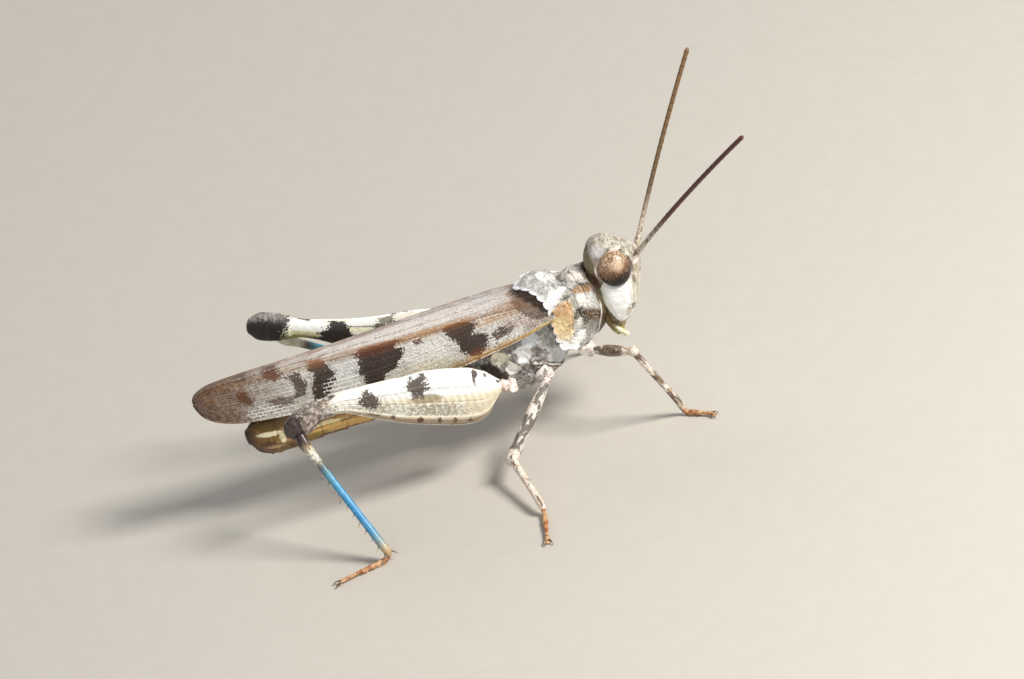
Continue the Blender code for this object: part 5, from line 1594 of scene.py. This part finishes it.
def footForms(ankle, toe):
    # three joints on the floor, a pad between two claws
    ankle, toe = np.array(ankle), np.array((*toe, 0))
    heel = np.array((ankle[0], ankle[1], 0))
    reach = np.linalg.norm(toe - heel)
    ahead = unit(toe - heel)
    across = np.array((-ahead[1], ahead[0], 0))

    def at(t, z, out=0):
        return heel + ahead * reach * t + (0, 0, z) + across * out

    forms = []
    for start, end, wide in ((0, 0.34, 1), (0.36, 0.5, 0.9), (0.52, 0.86, 0.72)):
        w = legSize["foot"] * wide
        stops = ((at(start, 0.3 if start == 0 else 0.22), w * 0.8), (at((start + end) / 2, 0.2), w * 0.85),
                 (at(end, 0.2), w * 1.05, w * 0.95))
        forms.append(tubeForm(stops, 26, 24))
    for t in (0.1, 0.2, 0.3, 0.43):
        forms.append(ballForm(at(t, 0.075), (0.11, 0.12, 0.075), None, 20, 12))
    forms.append(ballForm(at(0.9, 0.09), (0.14, 0.13, 0.09), None, 24, 14))
    claws = []
    for s in (-1, 1):
        stops = ((at(0.86, 0.2, s * 0.07), 0.05), (at(0.92, 0.2, s * 0.17), 0.045),
                 (at(0.97, 0.13, s * 0.22), 0.03), (at(0.995, 0.025, s * 0.2), 0.012))
        claws.append(tubeForm(stops, 26, 12))
    return forms, claws


ink, soot = (50, 43, 38), (96, 84, 74)
thighMarks = {
    # marks on the outer face by share of the length and place round the section (0 below, 0.25 outer middle,
    # 0.5 above): centre, radii, tone, strength
    "outer": (
        ((0.3, 0.4), (0.4, 0.115), (255, 255, 254), 1), ((0.75, 0.36), (0.08, 0.12), (250, 246, 236), 0.9),
        ((0.3, 0.27), (0.3, 0.025), (250, 238, 208), 0.8), ((0.12, 0.22), (0.1, 0.1), (236, 222, 192), 0.6),
        ((0.4, 0.095), (0.44, 0.03), (160, 122, 82), 0.75),
        ((0.42, 0.14), (0.44, 0.018), (254, 244, 220), 0.95),
        ((0.4, 0.055), (0.44, 0.018), (88, 60, 50), 0.7), ((0, 0.15), (0.03, 0.12), (130, 112, 96), 0.7),
        ((0.04, 0.44), (0.012, 0.03), (90, 78, 62), 0.8),
        ((0.055, 0.42), (0.01, 0.04), soot, 0.9), ((0.115, 0.455), (0.008, 0.025), soot, 0.9),
        ((0.165, 0.45), (0.014, 0.04), (70, 56, 48), 0.95),
        ((0.172, 0.4), (0.007, 0.05), (84, 68, 58), 0.9),
        ((0.4, 0.285), (0.075, 0.03), (156, 140, 104), 0.8),
        ((0.27, 0.11), (0.011, 0.035), (122, 96, 44), 0.9),
        ((0.342, 0.11), (0.01, 0.035), (100, 78, 56), 0.9),
        ((0.43, 0.11), (0.015, 0.04), (110, 66, 28), 0.95),
        ((0.553, 0.12), (0.012, 0.035), (104, 74, 50), 0.9),
        ((0.64, 0.12), (0.03, 0.02), (96, 72, 60), 0.8), ((0.2, 0.1), (0.012, 0.025), (116, 84, 44), 0.8),
        ((0.85, 0.46), (0.04, 0.05), (58, 46, 40), 0.95), ((0.87, 0.12), (0.05, 0.07), (104, 66, 60), 0.85),
        ((0.93, 0.2), (0.03, 0.05), (196, 176, 130), 0.5),
    ),
    # inner face, measured the same way from below
    "inner": (
        ((0.83, 0.36), (0.1, 0.12), (255, 254, 248), 1), ((0.82, 0.22), (0.1, 0.05), (234, 231, 180), 0.9),
        ((0.85, 0.12), (0.1, 0.06), (156, 154, 64), 0.9),
        ((0.59, 0.345), (0.055, 0.022), (250, 247, 208), 1),
        ((0.6, 0.42), (0.08, 0.05), (248, 244, 240), 0.9),
        ((0.58, 0.375), (0.09, 0.008), (140, 134, 116), 0.9),
    ),
}
thighBands = {
    # place round the section, then the two ends along it
    "outer": (
        (((0.3, 0.415, 0.455), (0.33, 0.405, 0.46), (0.36, 0.388, 0.482), (0.39, 0.396, 0.486),
          (0.42, 0.392, 0.468), (0.45, 0.394, 0.435), (0.48, 0.396, 0.41)), (98, 88, 80), 1),
        (((0.43, 0.45, 0.472), (0.46, 0.448, 0.468), (0.48, 0.45, 0.46)), (104, 92, 84), 0.9),
        (((0.2, 0.64, 0.67), (0.25, 0.615, 0.7), (0.3, 0.608, 0.706), (0.35, 0.63, 0.696),
          (0.39, 0.65, 0.686), (0.43, 0.66, 0.67)), (96, 85, 78), 1),
    ),
    "inner": (
        (((0, 0.72, 0.82), (0.1, 0.7, 0.8), (0.15, 0.665, 0.785), (0.2, 0.65, 0.765), (0.25, 0.62, 0.775),
          (0.3, 0.63, 0.745),
          (0.36, 0.64, 0.735), (0.42, 0.66, 0.73), (0.47, 0.69, 0.73), (0.5, 0.7, 0.72)), ink, 1),
        (((0, 0.44, 0.54), (0.2, 0.44, 0.53), (0.3, 0.445, 0.53), (0.36, 0.45, 0.54), (0.4, 0.455, 0.535)),
         ink, 0.95),
        (((0.38, 0.455, 0.53), (0.44, 0.46, 0.525), (0.5, 0.46, 0.52)), (122, 116, 96), 0.9),
        (((0, 0.2, 0.3), (0.25, 0.18, 0.3), (0.5, 0.2, 0.28)), (70, 62, 54), 0.9),
        (((0, 0.9, 1.2), (0.1, 0.912, 1.2), (0.2, 0.915, 1.2), (0.3, 0.906, 1.2), (0.4, 0.9, 1.2),
          (0.5, 0.9, 1.2)), (42, 36, 32), 1),
    ),
}


def thighFinish():
    f = Finish("hindThigh", 0.45)
    u, v, _ = f.parts(f.flat)
    turn = f.sum("FRACT", v + 0.25)
    inner = f.sum("GREATER_THAN", turn, 0.5)
    around = 0.5 - abs(turn - 0.5)
    long, girth = hindThigh["long"], hindThigh["girth"]
    where = f.join(u * long, around * girth)
    edge = f.ragged(0.35, 0.1, 0.7, 1.2)
    base = f.mottled((238, 229, 206), (254, 250, 240), 0.6, 4, 0.38, 0.66)
    # slanting rows of grey specks on the lower half of the outer face
    barbs = abs(around - 0.2)
    slant = f.sum("FRACT", u * hindThigh["barbs"] - barbs * 7)
    groove = f.ramp(abs(slant - 0.5), 0.2, 0.44)
    low = f.ramp(around, 0.3, 0.26) * f.ramp(around, 0.12, 0.16)
    much = f.curve(u, ((0, 0.25), (0.15, 0.3), (0.25, 0.55), (0.36, 1), (0.44, 0.85), (0.52, 0.45),
                       (0.62, 0.75), (0.7, 0.6), (0.76, 0.15), (1, 0.1)))
    cloud = f.grain(0.13, 3, 0.7, seed=2) + groove * 0.08
    speck = f.ramp(cloud + much * 0.13, 0.58, 0.66)
    speck = speck * low * 0.7
    outer = f.mix(speck, base, f.mix(f.ramp(u, 0.42, 0.52), (132, 120, 98), (146, 142, 136)))
    sets = {"outer": outer, "inner": base}
    for face in sets:
        painted = f.patches(sets[face], where, thighMarks[face], edge, 0.16, (long, girth, 1))
        sets[face] = f.bands(painted, u * long, around, thighBands[face], girth, edge, 0.05, long)
    # the mottled knee, dark at its end with painted shade; the far one black with a grey crown
    rough = f.grain(0.22, 4, 0.7, seed=5)
    mottle = f.scale(f.ramp(rough, 0.34, 0.66),
                     ((0, (62, 50, 44)), (0.35, (112, 96, 84)), (0.65, (146, 130, 117)),
                      (1, (206, 196, 186))))
    start = u + edge * 0.12
    sets["outer"] = f.mix(f.ramp(start, 0.8, 0.87) * 0.92, sets["outer"], mottle)
    # painted shade at the near knee's end
    tip = f.ramp(start + f.ramp(around, 0.3, 0.5) * -0.03, 0.962, 0.985)
    sets["outer"] = f.mix(tip * 0.92, sets["outer"], (60, 42, 42))
    crown = f.ramp(around + edge * 0.1, 0.33, 0.4) * f.ramp(start, 0.9, 0.92)
    sets["inner"] = f.mix(crown * 0.85, sets["inner"],
                          f.mix(f.ramp(rough, 0.4, 0.62), (104, 95, 90), (174, 164, 158)))
    colour = f.mix(inner, sets["outer"], sets["inner"])
    height = f.grain(0.1, 3) + f.grain(0.03, 2) * 0.3
    return f.done(colour, f.ramp(f.grain(0.4), 0.3, 0.7, 0.36, 0.55), height, 0.025)


def shankFinish(name, knee, dotted):
    # the knee end's given tones, pale ring, blue, tan foot end; the whole length runs from 0 to 1
    f = Finish(name, 0.32, Coat_Weight=0.15, Coat_Roughness=0.25)
    place = f.parts(f.flat)[0] + (f.grain(0.35, 3) - 0.5) * 0.03
    colour = f.scale(place * 2.38, (
        (0, knee[0]), (0.05, knee[1]), (0.085, knee[2]), (0.12, (236, 228, 196)), (0.17, (246, 243, 224)),
        (0.215, (168, 158, 134)), (0.25, (96, 110, 112)), (0.31, (88, 156, 178)), (0.4, (60, 148, 192)),
        (0.62, (48, 140, 198)), (0.78, (72, 146, 186)), (0.86, (132, 152, 148)), (0.92, (196, 164, 116)),
        (1, (186, 140, 86))))
    dots = f.flecks(0.13, 0.32, 3) * f.ramp(place, 0.16, 0.08)
    colour = f.mix(dots * dotted, colour, (58, 48, 42))
    streak = f.ramp(f.grain(0.3, 4), 0.4, 0.7)
    colour = f.mix(streak * f.ramp(place, 0.1, 0.2, 0, 0.18), colour, (178, 214, 226))
    return f.done(colour, f.ramp(streak, 0, 1, 0.28, 0.42), f.grain(0.08, 3), 0.015)


def slimFinish(name, seed, pale, dark, much, cover=None, knee=None):
    # a pale limb with slanting dark flecks along it; cover is a darker second tone, with its start and end
    # along the limb (painted shadow from the head on the front thigh), and knee the place along it where the
    # pale joint starts
    f = Finish(name, 0.48)
    u, v, _ = f.parts(f.flat)
    long = u * flatReach
    skew = f.join(long - abs(v - 0.5) * 1.4, v * 1.6, f.sum("SINE", v * fullTurn) * 0.2)
    colour = f.mottled(pale, (244, 236, 224), 0.4, 4, 0.4, 0.62, seed)
    colour = f.speckle(colour, ((214, 184, 158), 0.5, 0.3, 0.3, seed + 3))
    bars = f.ramp(f.grain(0.42, 3, 0.65, (0.55, 1.2, 1), seed, skew) + f.sum("SINE", long * 3.3) * 0.05,
                  0.62 - much * 0.3, 0.67 - much * 0.3)
    colour = f.mix(bars * 0.88, colour, dark)
    colour = f.speckle(colour, ((70, 58, 50), 0.6, 0.09, 0.18, seed + 2))
    if cover:
        start, end, shade = cover
        edge = long + f.ragged(0.3, 0.1, 1.2, 0.8)
        share = f.ramp(edge, start, start + 0.25) * f.ramp(edge, end, end - 0.25)
        # the cover leaves a pale line along the under side
        share = share * f.ramp(abs(v - 0.75), 0.08, 0.16, 0.15, 0.92)
        colour = f.mix(share, colour, f.mottled(shade, (136, 118, 94), 0.16, 4, 0.4, 0.62))
    if knee:
        joint = f.speckle((236, 224, 208), ((176, 128, 92), 0.7, 0.2, 0.3, seed + 9))
        colour = f.mix(f.ramp(long + f.ragged(0.2, 0.08, 0.5, 0.4), knee, knee + 0.25) * 0.92, colour,
                       joint)
    return f.done(colour, None, f.grain(0.08, 3), 0.02)


thornHorn = plainFinish("thornHorn", 0.35, ((46, 34, 28), (176, 152, 122), 0.14, 2, 0.42, 0.58), 0.04, 0.005)
footHorn = plainFinish("footHorn", 0.42, ((166, 96, 48), (222, 182, 136), 0.4, 4, 0.38, 0.6), 0.07, 0.012,
                       ((116, 64, 34), 0.6, 0.14, 0.25, 4))
hipCoat = plainFinish("hipCuticle", 0.5, ((222, 200, 190), (252, 246, 240), 0.4, 4, 0.38, 0.6), 0.09, 0.03,
                      ((120, 104, 96), 0.8, 0.3, 0.24, 4))
legCoats = {"thigh": thighFinish(),
            # the near shank's dark knee end is painted shade; the far shank's pale knee end is partly its
            # own colour and partly painted light
            "shank_right": shankFinish("hindShank", ((58, 40, 40), (66, 48, 44), (150, 126, 98)), 0.85),
            "shank_left": shankFinish("farShank", ((210, 206, 160), (250, 247, 218), (252, 250, 232)), 0.2),
            "foot": footHorn, "hip": hipCoat, "thorn": thornHorn,
            # the front thigh's dark brown cover is painted shadow from the head
            "frontThigh": slimFinish("frontThigh", 1, (228, 214, 196), (84, 68, 52), 0.35,
                                     (0.4, 2.1, (86, 68, 50)), 2),
            "middleThigh": slimFinish("middleThigh", 4, (216, 208, 198), (88, 80, 72), 0.42, None, 4.1),
            "frontShank": slimFinish("frontShank", 8, (192, 170, 142), (88, 66, 50), 0.5),
            "middleShank": slimFinish("middleShank", 12, (236, 214, 194), (110, 88, 74), 0.2,
                                      (0, 0.3, (96, 80, 68)))}


def blockForm(centre, radii, ahead=None, seed=5, sharp=16):
    # a ball cut by a dozen soft flat faces, for the angular hip joints
    columns, rows = np.linspace(0, fullTurn, 57)[None, :], np.linspace(0, math.pi, 35)[:, None]
    way = np.stack([np.sin(rows) * np.cos(columns), np.sin(rows) * np.sin(columns),
                    np.cos(rows) + 0 * columns], -1)
    rng = np.random.default_rng(seed)
    faces = rng.normal(size=(13, 3))
    faces = (np.concatenate([faces, -faces])
             / np.linalg.norm(np.concatenate([faces, faces]), axis=1, keepdims=True))
    depth = rng.uniform(0.78, 1, len(faces))
    far = (np.maximum(way @ faces.T / depth, 0) ** sharp).sum(-1) ** (-1 / sharp)
    grid = way * far[..., None] * np.array(radii)
    if ahead is not None:
        grid = grid @ np.array(Vector(ahead).to_track_quat("X", "Z").to_matrix()).T
    return sheetForm(grid + np.array(centre), rows / math.pi, columns / fullTurn)


def addThorns(key, rows, length, thickness):
    values = {"Length": length, "Thickness": thickness, "Finish": legCoats["thorn"]}
    finishMesh("thorns_" + key, runTree(thorns, pointMesh(*rows), values, key), legCoats["thorn"])


def slimLeg(key, kind, side):
    leg = legs[key]
    hip, knee, ankle = (np.array(leg[k]) for k in ("hip", "knee", "ankle"))
    wide = legSize["hip"][kind]
    ahead = unit(knee - hip)
    hipForm = blockForm(hip + onSide(legSize["coxa"][kind], side), (wide, wide * 0.95, wide * 0.85), None, 5)
    roller = blockForm(hip + ahead * (wide * 0.66), (wide * 0.52, wide * 0.46, wide * 0.44), ahead, 11)
    addPiece("hip_" + key, [hipForm, roller], legCoats["hip"], ("coxa_" + key,))
    near, middle, far = legSize["thigh"][kind]
    start = hip + ahead * (wide * 0.8)
    reach = knee - start
    stops = ((start, near * 0.85, near * 0.9), (start + reach * 0.3, middle * 0.9, middle),
             (start + reach * 0.6, middle * 0.85, middle * 0.95), (start + reach * 0.86, far),
             (knee, far * 1.12, far * 1.2), (knee + ahead * 0.15, far * 0.8, far * 0.9))
    thigh = tubeForm(stops, 110, 56)
    joint = blockForm(knee, (far * 1.3, far * 1.3, far * 1.25), ahead, 7)
    addPiece("thigh_" + key, [thigh, joint], legCoats[kind + "Thigh"], ("femur_" + key,))
    r = legSize["shank"][kind]
    down = unit(ankle - knee)
    reach = ankle - knee
    stops = ((knee - down * 0.05, r * 0.85), (knee + down * 0.4, r * 1.15), (knee + reach * 0.5, r),
             (knee + reach * 0.92, r * 1.08), (ankle - (0, 0, 0.2), r * 0.95))
    shank = tubeForm(stops, 110, 40, (0.3, 0.5, 1))
    addPiece("shank_" + key, [shank], legCoats[kind + "Shank"], ("tibia_" + key,))
    rows = thornRows(knee, ankle, (0.2, -side * 0.8, -0.5), 6, 0.4, 0.93, 0.6, r)
    addThorns(key, rows, 0.26, 0.035)


def hindLeg(key, name, side):
    leg = legs[key]
    hip, knee, hang, ankle = (np.array(leg[k]) for k in ("hip", "knee", "hang", "ankle"))
    wide = legSize["hip"]["hind"]
    hipForm = blockForm(hip + (-0.12, 0.1 * side, -0.3), (wide * 0.62, wide, wide * 0.56), None, 3)
    roller = blockForm(hip + (-0.52, 0.38 * side, -0.08), (wide * 0.62, wide * 0.7, wide * 0.62), None, 8)
    addPiece("hip_" + key, [hipForm, roller], legCoats["hip"], ("coxa_" + key,))
    addPiece("thigh_" + key, [thighForm(name, side)], legCoats["thigh"], ("femur_" + key,))
    r = legSize["shank"]["hind"]
    top = hang + (knee - hang) * 0.35
    reach = ankle - hang
    stops = ((top, r * 1.2, r * 1.3), (hang + reach * 0.02, r * 1.5, r * 1.6),
             (hang + reach * 0.1, r * 1.15, r * 1.2), (hang + reach * 0.3, r * 0.95, r),
             (hang + reach * 0.7, r * 0.95, r), (hang + reach * 0.94, r * 1.15, r * 1.12),
             (ankle, r * 1.05, r), (ankle - (0, 0, 0.25), r * 0.8))
    shank = tubeForm(stops, 240, 56, (1, 0, 0.6))
    addPiece("shank_" + key, [shank], legCoats["shank_" + name], ("tibia_" + key,))
    back = (-0.8, 0, -0.45) if name == "right" else (0.2, 0, -1)
    addThorns(key, thornRows(hang, ankle, back, 11, 0.2, 0.93, 0.65, r), 0.42, 0.05)
    down = unit(ankle - hang)
    across = unit(np.cross(down, (0, 0, 1)))
    spurs = []
    for s, long, rise in ((-1, 0.45, -0.05), (-1, 0.62, 0.15), (1, 0.45, -0.05), (1, 0.62, 0.15)):
        root = ankle - down * 0.1 + across * s * r * 0.7
        end = root + unit(down + across * s * 0.45 + np.array((0, 0, rise))) * long
        end[2] = max(end[2], 0.05)
        spurs.append(tubeForm(((root, 0.06), ((root + end) / 2, 0.045), (end, 0.01)), 16, 14, (1, 0, 0.3)))
    addPiece("spurs_" + key, spurs, legCoats["thorn"])


for key, leg in legs.items():
    kind, name = key.split("_")
    side = 1 if name == "left" else -1
    if kind == "hind":
        hindLeg(key, name, side)
    else:
        slimLeg(key, kind, side)
    pads, claws = footForms(leg["ankle"], leg["toe"])
    addPiece("foot_" + key, pads, legCoats["foot"], ("tarsus_" + key,))
    addPiece("claws_" + key, claws, legCoats["thorn"])
print("legs are built")


sizes = {"cad": cadBox, "visual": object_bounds()}
